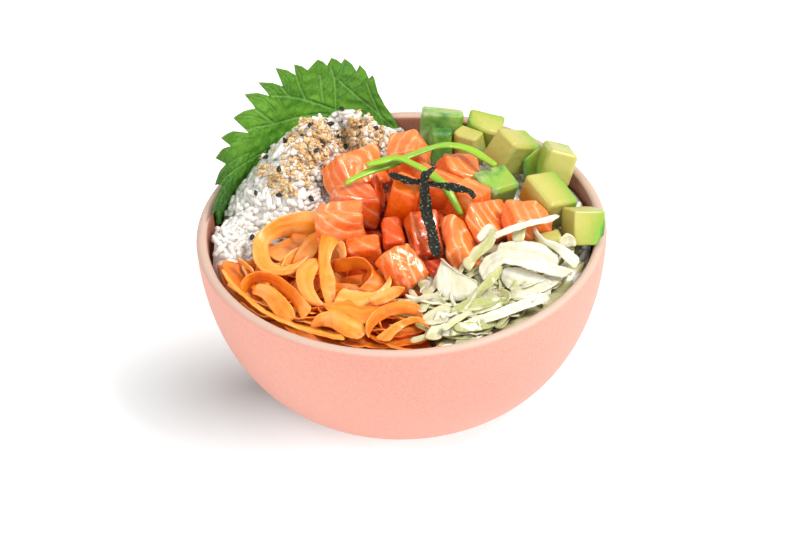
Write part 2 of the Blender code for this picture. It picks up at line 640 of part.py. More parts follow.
SHREDS = (
    (((39, -21, 90), (36.5, -25.5, 87), (30, -29.5, 84), (25, -35, 81)),
     ((41.5, -25.5, 88), (38.5, -30, 85), (32.5, -34, 82), (28.5, -39.5, 79))),
    (((32, -23, 86), (36, -19.5, 89), (39, -19, 90)),
     ((33.5, -25, 84), (37.5, -24, 86), (41, -25, 88))),
    (((51, -17.5, 90), (47.5, -23.5, 86), (48.5, -26.5, 84)),
     ((54, -20.5, 89), (53, -25, 86), (50.5, -29, 83))),
    (((38, -24.5, 88), (47.5, -23, 91), (55.5, -21, 92), (62, -19.5, 92), (67, -17, 92)),
     ((39, -27.5, 87), (48.5, -26, 90), (56.5, -23.5, 91), (63, -22, 91), (69, -18, 91))),
    (((57.5, -20.5, 88), (61.5, -26.5, 86), (68, -28, 84), (74, -31.5, 81), (76.5, -33.5, 79)),
     ((56.5, -20.5, 86), (60.5, -26.5, 84), (66, -29.5, 81), (71, -34.5, 78), (74, -36.5, 76))),
    (((67, -28, 85), (71, -25, 87), (74.5, -24.5, 85)),
     ((69, -27.5, 81), (72.5, -26.5, 81), (75.5, -26.5, 81))),
    (((17, -33, 82), (14, -41.5, 80), (14.5, -49, 77), (18.5, -53, 74)),
     ((23.5, -44, 82), (29, -47.5, 81), (31.5, -51.5, 80), (28, -54.5, 76))),
    (((16, -33.5, 84), (21, -40.5, 83), (26, -45, 82), (32, -47, 80)),
     ((17.5, -36, 82), (22, -42, 81), (26.5, -45.5, 80), (31.5, -48.5, 79))),
    (((41.5, -42.5, 85), (36.5, -48, 84), (31.5, -52.5, 81), (26, -56.5, 78)),
     ((43, -42.5, 83), (39, -51, 82), (34, -53.5, 79), (28, -58.5, 76))),
    (((32, -38.5, 80), (37, -32.5, 83), (45.5, -33.5, 86), (54.5, -37, 86), (64, -40.5, 83), (75, -41.5,
      79)),
     ((34.5, -45.5, 78), (41.5, -40.5, 83), (46.5, -41.5, 84), (54, -44, 83), (62, -44.5, 80), (69, -43.5,
      77))),
    (((41.5, -26, 84), (52, -26, 85), (61.5, -29, 84), (67.5, -34, 80)),
     ((40, -32, 82), (50.5, -34, 83), (59.5, -36, 82), (65.5, -38.5, 79))),
    (((42.5, -39.5, 81), (50, -40, 81), (60.5, -43, 78), (63.5, -45, 76)),
     ((41.5, -42.5, 77), (45.5, -48.5, 76), (54, -48.5, 75), (62.5, -50, 72))),
    (((25.5, -68, 76), (36, -64.5, 77), (47, -60, 78), (58, -54.5, 78), (61.5, -53, 76)),
     ((30, -70, 74), (39.5, -67.5, 75), (49, -62.5, 75), (57.5, -58.5, 75), (62.5, -54, 74))),
    (((19.5, -73, 76), (26.5, -69.5, 77), (31.5, -68, 77)),
     ((18.5, -76.5, 73.5), (26.5, -73.5, 74), (32.5, -71.5, 74))),
    (((15, -75, 78), (21, -70, 79), (27.5, -65, 79)),
     ((16.5, -77, 77), (22, -72.5, 78), (29, -66.5, 78))),
    (((7.5, -78.5, 75), (11.5, -70.5, 77), (14, -64, 79)),
     ((14.5, -79, 74), (16.5, -71.5, 75), (20, -64, 77))),
    (((19, -63, 78), (27, -58, 79), (36.5, -57.5, 79), (43, -56.5, 78)),
     ((21, -66.5, 75), (28.5, -65.5, 76), (37, -62.5, 76), (44, -58, 75))),
    (((42, -52, 80), (45, -56.5, 80), (44.5, -60, 78)),
     ((40.5, -52, 78), (42.5, -55, 77), (42, -59.5, 76))),
    (((2.5, -58.5, 80), (8.5, -56, 81), (14, -55.5, 81), (17.5, -59.5, 80)),
     ((3, -58.5, 78), (8.5, -57, 79), (13.5, -56.5, 79), (16.5, -59, 77))),
    (((6.5, -66.5, 77), (11.5, -62.5, 78), (18.5, -59, 78)),
     ((10.5, -71, 74), (15, -67, 76), (21.5, -63.5, 76))),
)
RIBBON_THICKNESS = 1.3
SHRED_THICKNESS = 1.2
SECTION_SPACING = 5.0
DEEPEST_EASING = 9.0
EASING_ROUNDS = 40


def smooth_path(controls, count):
    """Points evenly along a smooth curve through the control points."""
    controls = np.array(controls, float)
    ends = np.concatenate([[2 * controls[0] - controls[1]], controls, [2 * controls[-1] - controls[-2]]])
    pieces = []
    for i in range(len(controls) - 1):
        a, b, c, d = ends[i:i + 4]
        t = np.linspace(0, 1, 16, endpoint=i == len(controls) - 2)[:, None]
        pieces.append(0.5 * (2 * b + (c - a) * t + (2 * a - 5 * b + 4 * c - d) * t ** 2
                             + (3 * b - a - 3 * c + d) * t ** 3))
    fine = np.concatenate(pieces)
    share = np.linspace(0, len(fine) - 1, count)
    return np.stack([np.interp(share, np.arange(len(fine)), fine[:, k]) for k in range(3)], axis=1)


def strip_sections(edges, thickness):
    """The four corners of a strip's section at even steps along its two edge lines."""
    length = max(np.linalg.norm(np.diff(np.array(e, float), axis=0), axis=1).sum() for e in edges)
    count = max(4, int(round(length / SECTION_SPACING)) + 1)
    first, second = (smooth_path(edge, count) for edge in edges)
    along = np.gradient((first + second) / 2, axis=0)
    flat = np.cross(along, second - first)
    flat *= thickness / 2 / np.linalg.norm(flat, axis=1)[:, None]
    return np.stack([first - flat, second - flat, second + flat, first + flat], axis=1)


def strip_faces(count):
    """The faces of a closed strip with a number of sections."""
    faces = [(0, 1, 2, 3), (4 * count - 1, 4 * count - 2, 4 * count - 3, 4 * count - 4)]
    for i in range(count - 1):
        a = 4 * i
        faces += [(a + k, a + (k + 1) % 4, a + 4 + (k + 1) % 4, a + 4 + k) for k in range(4)]
    return faces


def add_strip(name, sections, finish=None):
    """A closed strip from its section corners."""
    return add_mesh(name, sections.reshape(-1, 3), strip_faces(len(sections)), finish)


def grown(sections, margin):
    """The sections of a strip made wider and thicker by a margin on each side."""
    across = sections[:, 1] - sections[:, 0]
    flat = sections[:, 3] - sections[:, 0]
    across *= margin / np.linalg.norm(across, axis=1)[:, None]
    flat *= margin / np.linalg.norm(flat, axis=1)[:, None]
    return sections + np.stack([-across - flat, across - flat, across + flat, flat - across], axis=1)


def ease_clear(sections, blocks):
    """Moves a strip the short way out of the pieces and the bowl that it would reach into."""
    moved = sections.copy()
    for _ in range(EASING_ROUNDS):
        step = np.zeros((len(moved), 3))
        for block in blocks:
            depth = moved @ block.normals.T - block.offsets
            nearest = depth.argmax(axis=2)
            outside = np.take_along_axis(depth, nearest[..., None], axis=2)[..., 0]
            short = np.clip(GAP + 0.25 - outside, 0.0, None)
            short = np.where(short < DEEPEST_EASING, short, 0.0)
            worst = short.argmax(axis=1)
            amount = short[np.arange(len(moved)), worst]
            step += block.normals[nearest[np.arange(len(moved)), worst]] * amount[:, None]
        radius = np.hypot(moved[..., 0], moved[..., 1])
        over = radius + GAP + 0.3 - inner_radius(np.minimum(moved[..., 2], RIM_TURN))
        over = np.where(moved[..., 2] > BOWL_HEIGHT + GAP + 0.3, 0.0, np.maximum(over, 0.0)).max(axis=1)
        middle = moved.mean(axis=1)
        inward = -middle / np.hypot(middle[:, 0], middle[:, 1])[:, None] * (1, 1, 0)
        step += inward * over[:, None]
        if np.abs(step).max() < 0.02:
            break
        spread = np.vstack([step[:1], step, step[-1:]])
        step = np.where(np.abs(step) > 0, step, 0.3 * (spread[2:] + spread[:-2]))
        moved += 0.6 * step[:, None, :]
    return moved


def shorten(sections, neighbours, margin=GAP):
    """The longest stretch of a strip that is clear of its neighbours."""
    wide = grown(sections, margin)
    free = [neighbours.clear(wide[i:i + 2].reshape(-1, 3), strip_faces(2)) for i in range(len(wide) - 1)]
    best, start = (0, 0), None
    for i, ok in enumerate([*free, False]):
        if ok and start is None:
            start = i
        if not ok and start is not None:
            if i - start > best[1] - best[0]:
                best = (start, i)
            start = None
    return sections[best[0]:best[1] + 1]


def make_bundle(name, patch, rows, thickness, blocks, neighbours, finish):
    """A core with strips laid over it, each shortened where it would meet a neighbour, fused to one solid."""
    core = add_mesh(name, *patch, finish)
    strips = []
    for i, edges in enumerate(rows):
        sections = ease_clear(strip_sections(edges, thickness), blocks)
        sections = shorten(sections, neighbours)
        if len(sections) > 1:
            strips.append(add_strip(f"{name}_strip_{i}", sections))
    fuse(core, strips)
    smooth(core, 40.0)
    return core


# Each scallion and nori strip is its middle line from left to right, or from back to front.
SCALLIONS = (
    ((-23.5, 5, 93), (-12.5, 13.5, 96), (-3.5, 17.5, 97), (6, 24, 96), (18.5, 29.5, 94), (31, 29, 92),
     (43, 19, 91)),
    ((-14, 12.5, 93), (-7.5, 14.5, 95), (-0.5, 16.5, 95), (9, 12.5, 94), (17.5, 6, 92), (26.5, -5, 88)),
)
NORI = (
    ((-4, 1.5, 99), (2.5, -1.5, 99), (9.5, -2, 98), (17.5, -3.5, 95), (26.5, -5, 93), (32.5, -8.5, 92)),
    ((15.5, 9.5, 96), (11.5, -2, 100), (11, -13.5, 96), (12.5, -22, 92), (14.5, -34.5, 90)),
)
SCALLION_WIDTH = 4.2
SCALLION_THICKNESS = 1.8
NORI_WIDTH = 4.4
NORI_THICKNESS = 0.6
STRIP_STEPS = 15


def rest_on(path, blocks, half_width, under):
    """Lays a flexible strip over the pieces and strips below it: clear of them all over."""
    x, y = path[:, 0], path[:, 1]
    floor = tops(blocks, x, y, half_width)
    for other, lift in under:
        apart = np.hypot(x[:, None] - other[None, :, 0], y[:, None] - other[None, :, 1])
        held = np.where(apart < half_width * 2.2, other[None, :, 2] + lift, -np.inf).max(axis=1)
        floor = np.maximum(floor, held)
    height = np.maximum(floor, path[:, 2] - 6.0)
    for _ in range(200):
        middle = (height[:-2] + height[2:]) / 2 - 0.01
        height[1:-1] = np.maximum(floor[1:-1], np.maximum(middle, path[1:-1, 2] - 6.0))
    return height


def make_garnish(blocks):
    """Scallion strips and nori strips, laid one on another over the salmon."""
    scallion = material("scallion_green", (0.33, 0.55, 0.08), 0.35)
    nori = material("nori_sheet", (0.012, 0.02, 0.014), 0.5)
    laid, made = [], []
    jobs = [(f"scallion_strip_{i}", line, SCALLION_WIDTH, SCALLION_THICKNESS, scallion)
            for i, line in enumerate(SCALLIONS, 1)]
    jobs += [(f"nori_strip_{i}", line, NORI_WIDTH, NORI_THICKNESS, nori) for i, line in enumerate(NORI, 1)]
    for name, line, width, thickness, finish in jobs:
        path = smooth_path(line, STRIP_STEPS)
        lifts = [(other, thickness / 2 + other_thickness / 2 + 1.0) for other, other_thickness in laid]
        path[:, 2] = rest_on(path, blocks, width / 2 + GAP, lifts) + thickness / 2 + GAP
        laid.append((path, thickness))
        along = np.gradient(path, axis=0)
        across = np.cross(along, (0, 0, 1.0))
        across *= width / 2 / np.linalg.norm(across, axis=1)[:, None]
        across *= (1 - 0.4 * np.linspace(-1, 1, STRIP_STEPS) ** 6)[:, None]
        flat = np.cross(along, across)
        flat *= thickness / 2 / np.linalg.norm(flat, axis=1)[:, None]
        sections = np.stack([path - across - flat, path + across - flat, path + across + flat,
                             path - across + flat], axis=1)
        strip = add_strip(name, sections, finish)
        smooth(strip, 50.0)
        made.append(strip)
    return made


# Shiso leaf

def leaf_place(azimuth, height):
    """A point of the leaf's inner face, which follows the wall and, above the rim, leans out a little."""
    above = np.maximum(height - BOWL_HEIGHT, 0.0)
    fold = 1.0 * np.sin(np.radians(azimuth) * 11.0 + height / 9.0) * np.clip(above / 12.0, 0.0, 1.0)
    radius = inner_radius(np.minimum(height, RIM_TURN)) - GAP - LEAF_THICKNESS - 0.5 + 0.1 * above + fold
    x, y = polar(radius, azimuth)
    return np.stack([x, y, height], axis=-1)


def leaf_margin():
    """The upper margin and the line of the notches under it, at the same places along the leaf.

    Each tooth has a further point on its long side, which bulges a little.
    """
    margin = [*LEAF_SMOOTH_EDGE]
    line = [(azimuth, height - LEAF_BODY_DEPTH) for azimuth, height in LEAF_SMOOTH_EDGE]
    notch = (LEAF_TEETH[0][0] - 0.6, 95.0)
    for point, following in zip(LEAF_TEETH[::2], [*LEAF_TEETH[1::2], (172.0, 77.0)]):
        height = np.hypot(point[0] - notch[0], point[1] - notch[1])
        middle = (np.array(notch) + point) / 2 + (-0.05 * height, 0.05 * height)
        margin += [tuple(middle), point, following]
        for share in (0.33, 0.67, 1.0):
            azimuth = notch[0] + (following[0] - notch[0]) * share
            line.append((azimuth, notch[1] + (following[1] - notch[1]) * share - LEAF_BODY_DEPTH))
        notch = following
    return np.array(margin[:-1]), np.array(line[:-1])


def make_leaf():
    """A thin leaf with a toothed margin, both faces split into triangles alike."""
    margin, line = leaf_margin()
    lower = np.interp(line[:, 0], *zip(*LEAF_LOWER_MARGIN))
    lower = np.minimum(lower, line[:, 1] - 0.6)
    rows = [leaf_place(line[:, 0], lower + (line[:, 1] - lower) * share) for share in LEAF_ROWS]
    inner = np.stack([*rows, leaf_place(margin[:, 0], margin[:, 1])])
    outward = inner * (1, 1, 0)
    outward /= np.linalg.norm(outward, axis=-1)[..., None]
    outer = inner + outward * LEAF_THICKNESS
    points, faces = sheet_solid(outer.reshape(-1, 3), inner.reshape(-1, 3), *inner.shape[:2])
    leaf = add_mesh("shiso_leaf", points, faces, material("shiso_green", (0.12, 0.3, 0.035), 0.5))
    smooth(leaf, 60.0)
    return leaf


# Grains and seeds on the rice

def ball(centre, size, turn, rings, sides):
    """Points and faces of a small low ball: a pole at each end and rings between, stretched along X."""
    points = [(-0.5, 0.0, 0.0)]
    for i in range(rings):
        angle = math.pi * (i + 1) / (rings + 1)
        for j in range(sides):
            around = math.tau * (j + 0.5 * i) / sides
            points.append((-0.5 * math.cos(angle), 0.5 * math.sin(angle) * math.cos(around),
                           0.5 * math.sin(angle) * math.sin(around)))
    points.append((0.5, 0.0, 0.0))
    last = len(points) - 1
    faces = [(0, 1 + j, 1 + (j + 1) % sides) for j in range(sides)]
    for i in range(rings - 1):
        a, b = 1 + i * sides, 1 + (i + 1) * sides
        for j in range(sides):
            k = (j + 1) % sides
            faces += [(a + j, b + j, a + k), (a + k, b + j, b + k)]
    base = 1 + (rings - 1) * sides
    faces += [(last, base + (j + 1) % sides, base + j) for j in range(sides)]
    return np.array(points) * np.array(size) @ np.array(turn).T + np.array(centre), faces


def surface_place(bed_tree, x, y):
    """The point and the normal of the rice's top at a place."""
    hit, normal, _, _ = bed_tree.ray_cast(Vector((x, y, 150.0)) * MM, Vector((0, 0, -1)))
    return hit, normal


def visible_places(draw, count):
    """Places on the rice that show: over the mound, and by the wall at the back and the right."""
    places = []
    for i in range(count):
        if i % 6:
            azimuth = draw.uniform(76, 194)
            radius = draw.uniform(20, 80)
        else:
            azimuth = draw.choice((draw.uniform(72, 92), draw.uniform(-28, 40)))
            radius = draw.uniform(66, 81)
        places.append(polar(radius, azimuth))
    return places


def scatter(name, bed_tree, draw, count, size, sink, apart, rings, sides, neighbours, taken):
    """Low balls lying on the rice in random directions, spaced apart and clear of every neighbour."""
    made = []
    for x, y in visible_places(draw, count * 14):
        if len(made) == count:
            break
        if any(math.hypot(x - a, y - b) < apart for a, b in taken):
            continue
        hit, normal = surface_place(bed_tree, x, y)
        if hit is None:
            continue
        up = normal.normalized()
        level = up.orthogonal().normalized()
        heading = Matrix.Rotation(draw.uniform(0, math.tau), 3, up) @ level
        heading = (heading + up * draw.uniform(-0.25, 0.35)).normalized()
        side = up.cross(heading).normalized()
        turn = Matrix((heading, side, heading.cross(side))).transposed()
        centre = hit / MM + up * size[2] * (0.5 - sink)
        points, faces = ball(centre, size, turn, rings, sides)
        away = points - centre
        wide = points + away * GAP / np.linalg.norm(away, axis=1)[:, None]
        if neighbours.clear(wide, faces):
            made.append(add_mesh(f"{name}_{len(made)}", points, faces))
            taken.append((x, y))
    return made


def make_rice(bed, rice, neighbours):
    """Fuses grains and sesame seeds to the bare heap where the rice shows."""
    graph = bpy.context.evaluated_depsgraph_get()
    shape = bmesh.new()
    shape.from_object(rice, graph)
    bed_tree = BVHTree.FromBMesh(shape)
    shape.free()
    draw = random.Random(7)
    taken = []
    pieces = scatter("seed", bed_tree, draw, SEED_COUNT, SEED_SIZE, 0.25, 4.2, 2, 4, neighbours, taken)
    pieces += scatter("grain", bed_tree, draw, GRAIN_COUNT, GRAIN_SIZE, 0.3, 5.2, 2, 5, neighbours, taken)
    fuse(rice, pieces)
    smooth(rice, 50.0)


def main():
    clear_scene()
    bowl = make_bowl()
    blocks = make_blocks()
    diced = [bpy.data.objects[b.name] for b in blocks]
    leaf = make_leaf()
    bed = RiceBed(blocks)
    rice = add_mesh("rice", *bed.solid(), material("cooked_rice", (0.85, 0.83, 0.78), 0.45))
    carrot = make_bundle("carrot_ribbons", bed.patch(CARROT_CORE, blocks), RIBBONS, RIBBON_THICKNESS, blocks,
                         Neighbours([bowl, leaf, rice, *diced]),
                         material("carrot_flesh", (0.93, 0.33, 0.02), 0.4))
    cabbage = make_bundle("cabbage_shreds", bed.patch(CABBAGE_CORE, blocks), SHREDS, SHRED_THICKNESS, blocks,
                          Neighbours([bowl, leaf, rice, carrot, *diced]),
                          material("cabbage_shred", (0.8, 0.82, 0.6), 0.4))
    garnish = make_garnish(blocks)
    make_rice(bed, rice, Neighbours([bowl, leaf, carrot, cabbage, *garnish, *diced]))


main()
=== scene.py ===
"""Looks of a salmon poke bowl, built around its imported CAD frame, in the order the bowl is filled.

Sizes in the sections are in millimetres unless a name says otherwise, and MM turns them into metres.
+Z is up, the origin is the middle of the bowl's flat base, and -Y faces the camera.
"""

import math

import bpy
import numpy as np
from mathutils import Matrix, Vector
from mathutils.bvhtree import BVHTree


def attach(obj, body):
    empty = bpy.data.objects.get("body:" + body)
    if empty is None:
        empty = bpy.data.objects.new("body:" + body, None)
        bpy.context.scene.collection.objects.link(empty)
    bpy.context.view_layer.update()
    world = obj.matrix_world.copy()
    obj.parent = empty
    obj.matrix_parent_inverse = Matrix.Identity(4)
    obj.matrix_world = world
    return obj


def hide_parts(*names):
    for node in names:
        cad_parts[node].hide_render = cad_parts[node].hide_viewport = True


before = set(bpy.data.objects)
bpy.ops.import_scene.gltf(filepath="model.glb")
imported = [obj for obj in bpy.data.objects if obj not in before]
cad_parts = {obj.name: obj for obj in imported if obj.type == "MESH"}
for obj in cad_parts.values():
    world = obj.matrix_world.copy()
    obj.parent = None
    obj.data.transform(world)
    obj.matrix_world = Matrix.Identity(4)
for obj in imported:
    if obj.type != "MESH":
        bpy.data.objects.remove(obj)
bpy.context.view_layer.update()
MM = 0.001

# Studio. A seamless white floor, a large soft lamp high at the right, which throws the shadow to the left,
# and a pale surround. The camera looks down 36.5 degrees from the side with the carrot and the cabbage.

CAMERA_ELEVATION = math.radians(36.5)
CAMERA_DISTANCE = 1.5
CAMERA_ROLL = math.radians(-2.4)
FRAME_WIDTH_PIXELS = 800
VIEW_WIDTH = 0.3507
SENSOR_WIDTH_MM = 36
FOCAL_LENGTH_MM = SENSOR_WIDTH_MM * CAMERA_DISTANCE / VIEW_WIDTH
AIM_POINT = Vector((0, 0, 0.076))
AIM_RIGHT_PIXELS, AIM_UP_PIXELS = 1.1, 40.0
LAMP_TARGET = Vector((0, 0, 0.05))
FLOOR_HALF_WIDTH, FLOOR_LEVEL = 6000.0, -0.05
FLOOR_GLOW = 0.7
# The floor glows, but not in an oval left of the bowl, where a shadow is painted on the floor. Its place is given
# after the stretch.
PAINTED_SHADOW_STRETCH, PAINTED_SHADOW_PLACE = (1.0, 1.7, 1.0), (-0.065, -0.022, 0.0)
PAINTED_SHADOW_DARK_TO, PAINTED_SHADOW_ENDS_AT = 0.005, 0.095


def add_lamp(name, place, size, watts, colour):
    """A square soft lamp, turned towards the bowl."""
    lamp = bpy.data.lights.new(name, "AREA")
    lamp.size, lamp.energy, lamp.color = size, watts, colour
    obj = bpy.data.objects.new(name, lamp)
    bpy.context.scene.collection.objects.link(obj)
    obj.location = place
    obj.rotation_euler = (LAMP_TARGET - Vector(place)).to_track_quat("-Z", "Y").to_euler()


def add_camera():
    """The camera behind its lens, turned so that the rim's middle lands where the picture has it."""
    lens = bpy.data.cameras.new("camera")
    lens.lens, lens.sensor_width = FOCAL_LENGTH_MM, SENSOR_WIDTH_MM
    camera = bpy.data.objects.new("camera", lens)
    bpy.context.scene.collection.objects.link(camera)
    back = Vector((0, -math.cos(CAMERA_ELEVATION), math.sin(CAMERA_ELEVATION)))
    up = Vector((0, math.sin(CAMERA_ELEVATION), math.cos(CAMERA_ELEVATION)))
    facing = Matrix((Vector((1, 0, 0)), up, back)).transposed().to_4x4()
    pixels_deep = FOCAL_LENGTH_MM / SENSOR_WIDTH_MM * FRAME_WIDTH_PIXELS
    aim = Matrix.Rotation(-math.atan(AIM_UP_PIXELS / pixels_deep), 4, "X")
    aim = aim @ Matrix.Rotation(math.atan(AIM_RIGHT_PIXELS / pixels_deep), 4, "Y")
    roll = Matrix.Rotation(CAMERA_ROLL, 4, "Z")
    camera.matrix_world = Matrix.Translation(AIM_POINT + back * CAMERA_DISTANCE) @ facing @ roll @ aim
    bpy.context.scene.camera = camera


def put(tree, kind, sockets=None, **settings):
    """Adds a shader node, sets its properties, and sets or links sockets; a colour is given as six hex digits."""
    made = tree.nodes.new(kind)
    for key, value in settings.items():
        setattr(made, key, value)
    for key, value in (sockets or {}).items():
        if isinstance(value, bpy.types.NodeSocket):
            tree.links.new(value, made.inputs[key])
        else:
            made.inputs[key].default_value = rgb(value) if isinstance(value, str) else value
    return made


def rgb(code):
    """A colour for a shader from the six hex digits of how it looks on a screen."""
    values = np.array([int(code[i:i + 2], 16) / 255 for i in (0, 2, 4)])
    linear = np.where(values < 0.04045, values / 12.92, ((values + 0.055) / 1.055) ** 2.4)
    return (*(float(v) for v in linear), 1.0)


def new_finish(name, roughness, scatter=None, **constants):
    """A material, its node tree and its shader, with the values that are the same all over set on it.

    scatter is how far red, green and blue light go under the surface, in metres.
    """
    made = bpy.data.materials.new(name)
    made.use_nodes = True
    shader = made.node_tree.nodes["Principled BSDF"]
    shader.inputs["Roughness"].default_value = roughness
    for key, value in constants.items():
        shader.inputs[key.replace("_", " ").title().replace("Ior", "IOR")].default_value = value
    if scatter:
        shader.inputs["Subsurface Radius"].default_value = scatter
        shader.inputs["Subsurface Scale"].default_value = 1.0
    return made, made.node_tree, shader


def mixed(tree, share, first, second):
    """Two colours mixed by a share; returns the colour socket."""
    return put(tree, "ShaderNodeMix", {0: share, 6: first, 7: second}, data_type="RGBA").outputs[2]


def ramp(tree, value, stops):
    """A colour ramp through (place, colour) stops; returns the colour socket."""
    node = put(tree, "ShaderNodeValToRGB", {0: value})
    bar = node.color_ramp
    while len(bar.elements) < len(stops):
        bar.elements.new(0.5)
    for element, (place, colour) in zip(bar.elements, stops):
        element.position, element.color = place, rgb(colour)
    return node.outputs[0]


def stretched(tree, value, low, high, to_low=0.0, to_high=1.0):
    """The value's range from low to high mapped to another, clamped; returns the value socket."""
    return put(tree, "ShaderNodeMapRange", {0: value, 1: low, 2: high, 3: to_low, 4: to_high}).outputs[0]


def sum_of(tree, operation, first, second):
    """One sum of two values; returns the value socket."""
    return put(tree, "ShaderNodeMath", {0: first, 1: second}, operation=operation).outputs[0]


def place_of(tree):
    """The place on the object, in metres."""
    return put(tree, "ShaderNodeTexCoord").outputs["Object"]


def told(tree, name, output="Fac"):
    """A value stored on the mesh's points."""
    return put(tree, "ShaderNodeAttribute", attribute_name=name).outputs[output]


def axes_of(tree, vector):
    """The three numbers of a vector, as sockets."""
    return put(tree, "ShaderNodeSeparateXYZ", {0: vector}).outputs


def relief_group():
    """Shared by every finish: fine noise as a mask and as a normal for the shader."""
    group = bpy.data.node_groups.new("fine_relief", "ShaderNodeTree")
    face = group.interface
    for name, kind in (("Place", "NodeSocketVector"), ("Scale", "NodeSocketFloat"),
                       ("Detail", "NodeSocketFloat"), ("Depth", "NodeSocketFloat")):
        face.new_socket(name, in_out="INPUT", socket_type=kind)
    face.new_socket("Mask", in_out="OUTPUT", socket_type="NodeSocketFloat")
    face.new_socket("Normal", in_out="OUTPUT", socket_type="NodeSocketVector")
    start, end = group.nodes.new("NodeGroupInput"), group.nodes.new("NodeGroupOutput")
    noise = put(group, "ShaderNodeTexNoise", {"Vector": start.outputs["Place"], "Scale": start.outputs["Scale"],
                                              "Detail": start.outputs["Detail"], "Roughness": 0.6})
    bump = put(group, "ShaderNodeBump", {"Height": noise.outputs[0], "Distance": start.outputs["Depth"]})
    group.links.new(noise.outputs[0], end.inputs["Mask"])
    group.links.new(bump.outputs[0], end.inputs["Normal"])
    return group


FINE_RELIEF = relief_group()


def relief(tree, scale, depth, detail=3.0):
    """Fine relief with bumps of a scale per metre and a depth in metres; returns mask and normal."""
    node = put(tree, "ShaderNodeGroup", node_tree=FINE_RELIEF)
    tree.links.new(place_of(tree), node.inputs["Place"])
    for name, value in (("Scale", scale), ("Detail", detail), ("Depth", depth)):
        node.inputs[name].default_value = value
    return node.outputs["Mask"], node.outputs["Normal"]


def finish_with(tree, shader, colour, normal=None, roughness=None):
    """Links a colour to the shader, and a normal and a roughness from (mask, low, high) if they are given."""
    tree.links.new(colour, shader.inputs["Base Color"])
    if normal:
        tree.links.new(normal, shader.inputs["Normal"])
    if roughness:
        mask, low, high = roughness
        tree.links.new(stretched(tree, mask, 0.3, 0.7, low, high), shader.inputs["Roughness"])


def add_piece(name, points, faces, finish, attributes=None):
    """An object from arrays: points in millimetres, faces as rows of indices, values on its points."""
    mesh = bpy.data.meshes.new(name)
    points = np.asarray(points, dtype=np.float64).reshape(-1, 3) * MM
    faces = np.asarray(faces, dtype=np.int32)
    mesh.vertices.add(len(points))
    mesh.vertices.foreach_set("co", points.ravel())
    sides = faces.shape[1]
    mesh.loops.add(faces.size)
    mesh.loops.foreach_set("vertex_index", faces.ravel())
    mesh.polygons.add(len(faces))
    mesh.polygons.foreach_set("loop_start", np.arange(len(faces), dtype=np.int32) * sides)
    mesh.update(calc_edges=True)
    mesh.validate()
    for key, values in (attributes or {}).items():
        values = np.asarray(values, dtype=np.float32)
        kind = "FLOAT_VECTOR" if values.ndim == 2 else "FLOAT"
        layer = mesh.attributes.new(key, kind, "POINT")
        layer.data.foreach_set("vector" if values.ndim == 2 else "value", values.ravel())
    mesh.shade_smooth()
    mesh.materials.append(finish)
    obj = bpy.data.objects.new(name, mesh)
    bpy.context.scene.collection.objects.link(obj)
    return obj


def unit(vectors, least=0.0):
    """Vectors made one long; least keeps one without length from dividing by nothing."""
    return vectors / (np.linalg.norm(vectors, axis=-1, keepdims=True) + least)


def polar(radius, angle, height):
    """Points at a radius and an angle round the Z axis, and at a height."""
    return np.stack(np.broadcast_arrays(radius * np.cos(angle), radius * np.sin(angle), height), axis=-1)


def halved(quads):
    """Quads as triangles."""
    return np.concatenate([quads[:, [0, 1, 2]], quads[:, [0, 2, 3]]])


def grid_faces(rows, columns, closed=False):
    """Quads of a grid of points, row by row, with each row joined round where it is closed."""
    i, j = np.meshgrid(np.arange(rows - 1), np.arange(columns if closed else columns - 1), indexing="ij")
    here, beside = i * columns + j, i * columns + (j + 1) % columns
    return np.stack([here, beside, beside + columns, here + columns], axis=-1).reshape(-1, 4)


def barrel_tris(rows, sides):
    """Triangles of closed rows of points, and of the fans to one more point past the first and the last row."""
    k, top, end = np.arange(sides), (rows - 1) * sides, rows * sides
    low = np.stack([np.full(sides, end), (k + 1) % sides, k], axis=1)
    high = np.stack([np.full(sides, end + 1), top + k, top + (k + 1) % sides], axis=1)
    return np.concatenate([low, high, halved(grid_faces(rows, sides, closed=True))])


def sheet_tris(rows, columns):
    """Triangles of a closed sheet: a grid of points, its fellow behind it, and the wall round their borders."""
    sheet, behind = grid_faces(rows, columns), rows * columns
    across, down = np.arange(columns - 1), np.arange(rows - 1)
    border = np.concatenate([across, down * columns + columns - 1, behind - 1 - across, (rows - 1 - down) * columns])
    ahead = np.roll(border, -1)
    wall = np.stack([ahead, border, border + behind, ahead + behind], axis=1)
    return halved(np.concatenate([sheet, sheet[:, ::-1] + behind, wall]))


def dress(piece, slot, *nodes):
    """The piece stands for its CAD nodes and moves with the bowl. slot is not used."""
    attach(piece, "root")
    if nodes:
        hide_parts(*nodes)


def lay_floor():
    """A plain near-white floor far larger than the picture, which glows, but less in an oval left of the bowl: a
    painted shadow.
    """
    finish, tree, shader = new_finish("floor_white", 0.9, emission_strength=FLOOR_GLOW)
    mask, _ = relief(tree, 3.0, 0.001)
    # Painted shadow: the glow fades to near black in an oval left of the bowl.
    painted_shadow_oval = put(tree, "ShaderNodeVectorMath", {0: place_of(tree), 1: PAINTED_SHADOW_STRETCH}, operation="MULTIPLY")
    away = put(tree, "ShaderNodeVectorMath", {0: painted_shadow_oval.outputs[0], 1: PAINTED_SHADOW_PLACE}, operation="DISTANCE")
    share = stretched(tree, away.outputs["Value"], PAINTED_SHADOW_DARK_TO, PAINTED_SHADOW_ENDS_AT)
    glow_with_painted_shadow = ramp(tree, share, [(0.0, "101214"), (1.0, "FFFFFF")])
    tree.links.new(glow_with_painted_shadow, shader.inputs["Emission Color"])
    finish_with(tree, shader, mixed(tree, mask, "BBC0C0", "BFC4C4"))
    half = FLOOR_HALF_WIDTH
    corners = [(x, y, FLOOR_LEVEL) for x, y in ((-half, -half), (half, -half), (half, half), (-half, half))]
    floor = add_piece("floor", corners, [(0, 1, 2, 3)], finish)


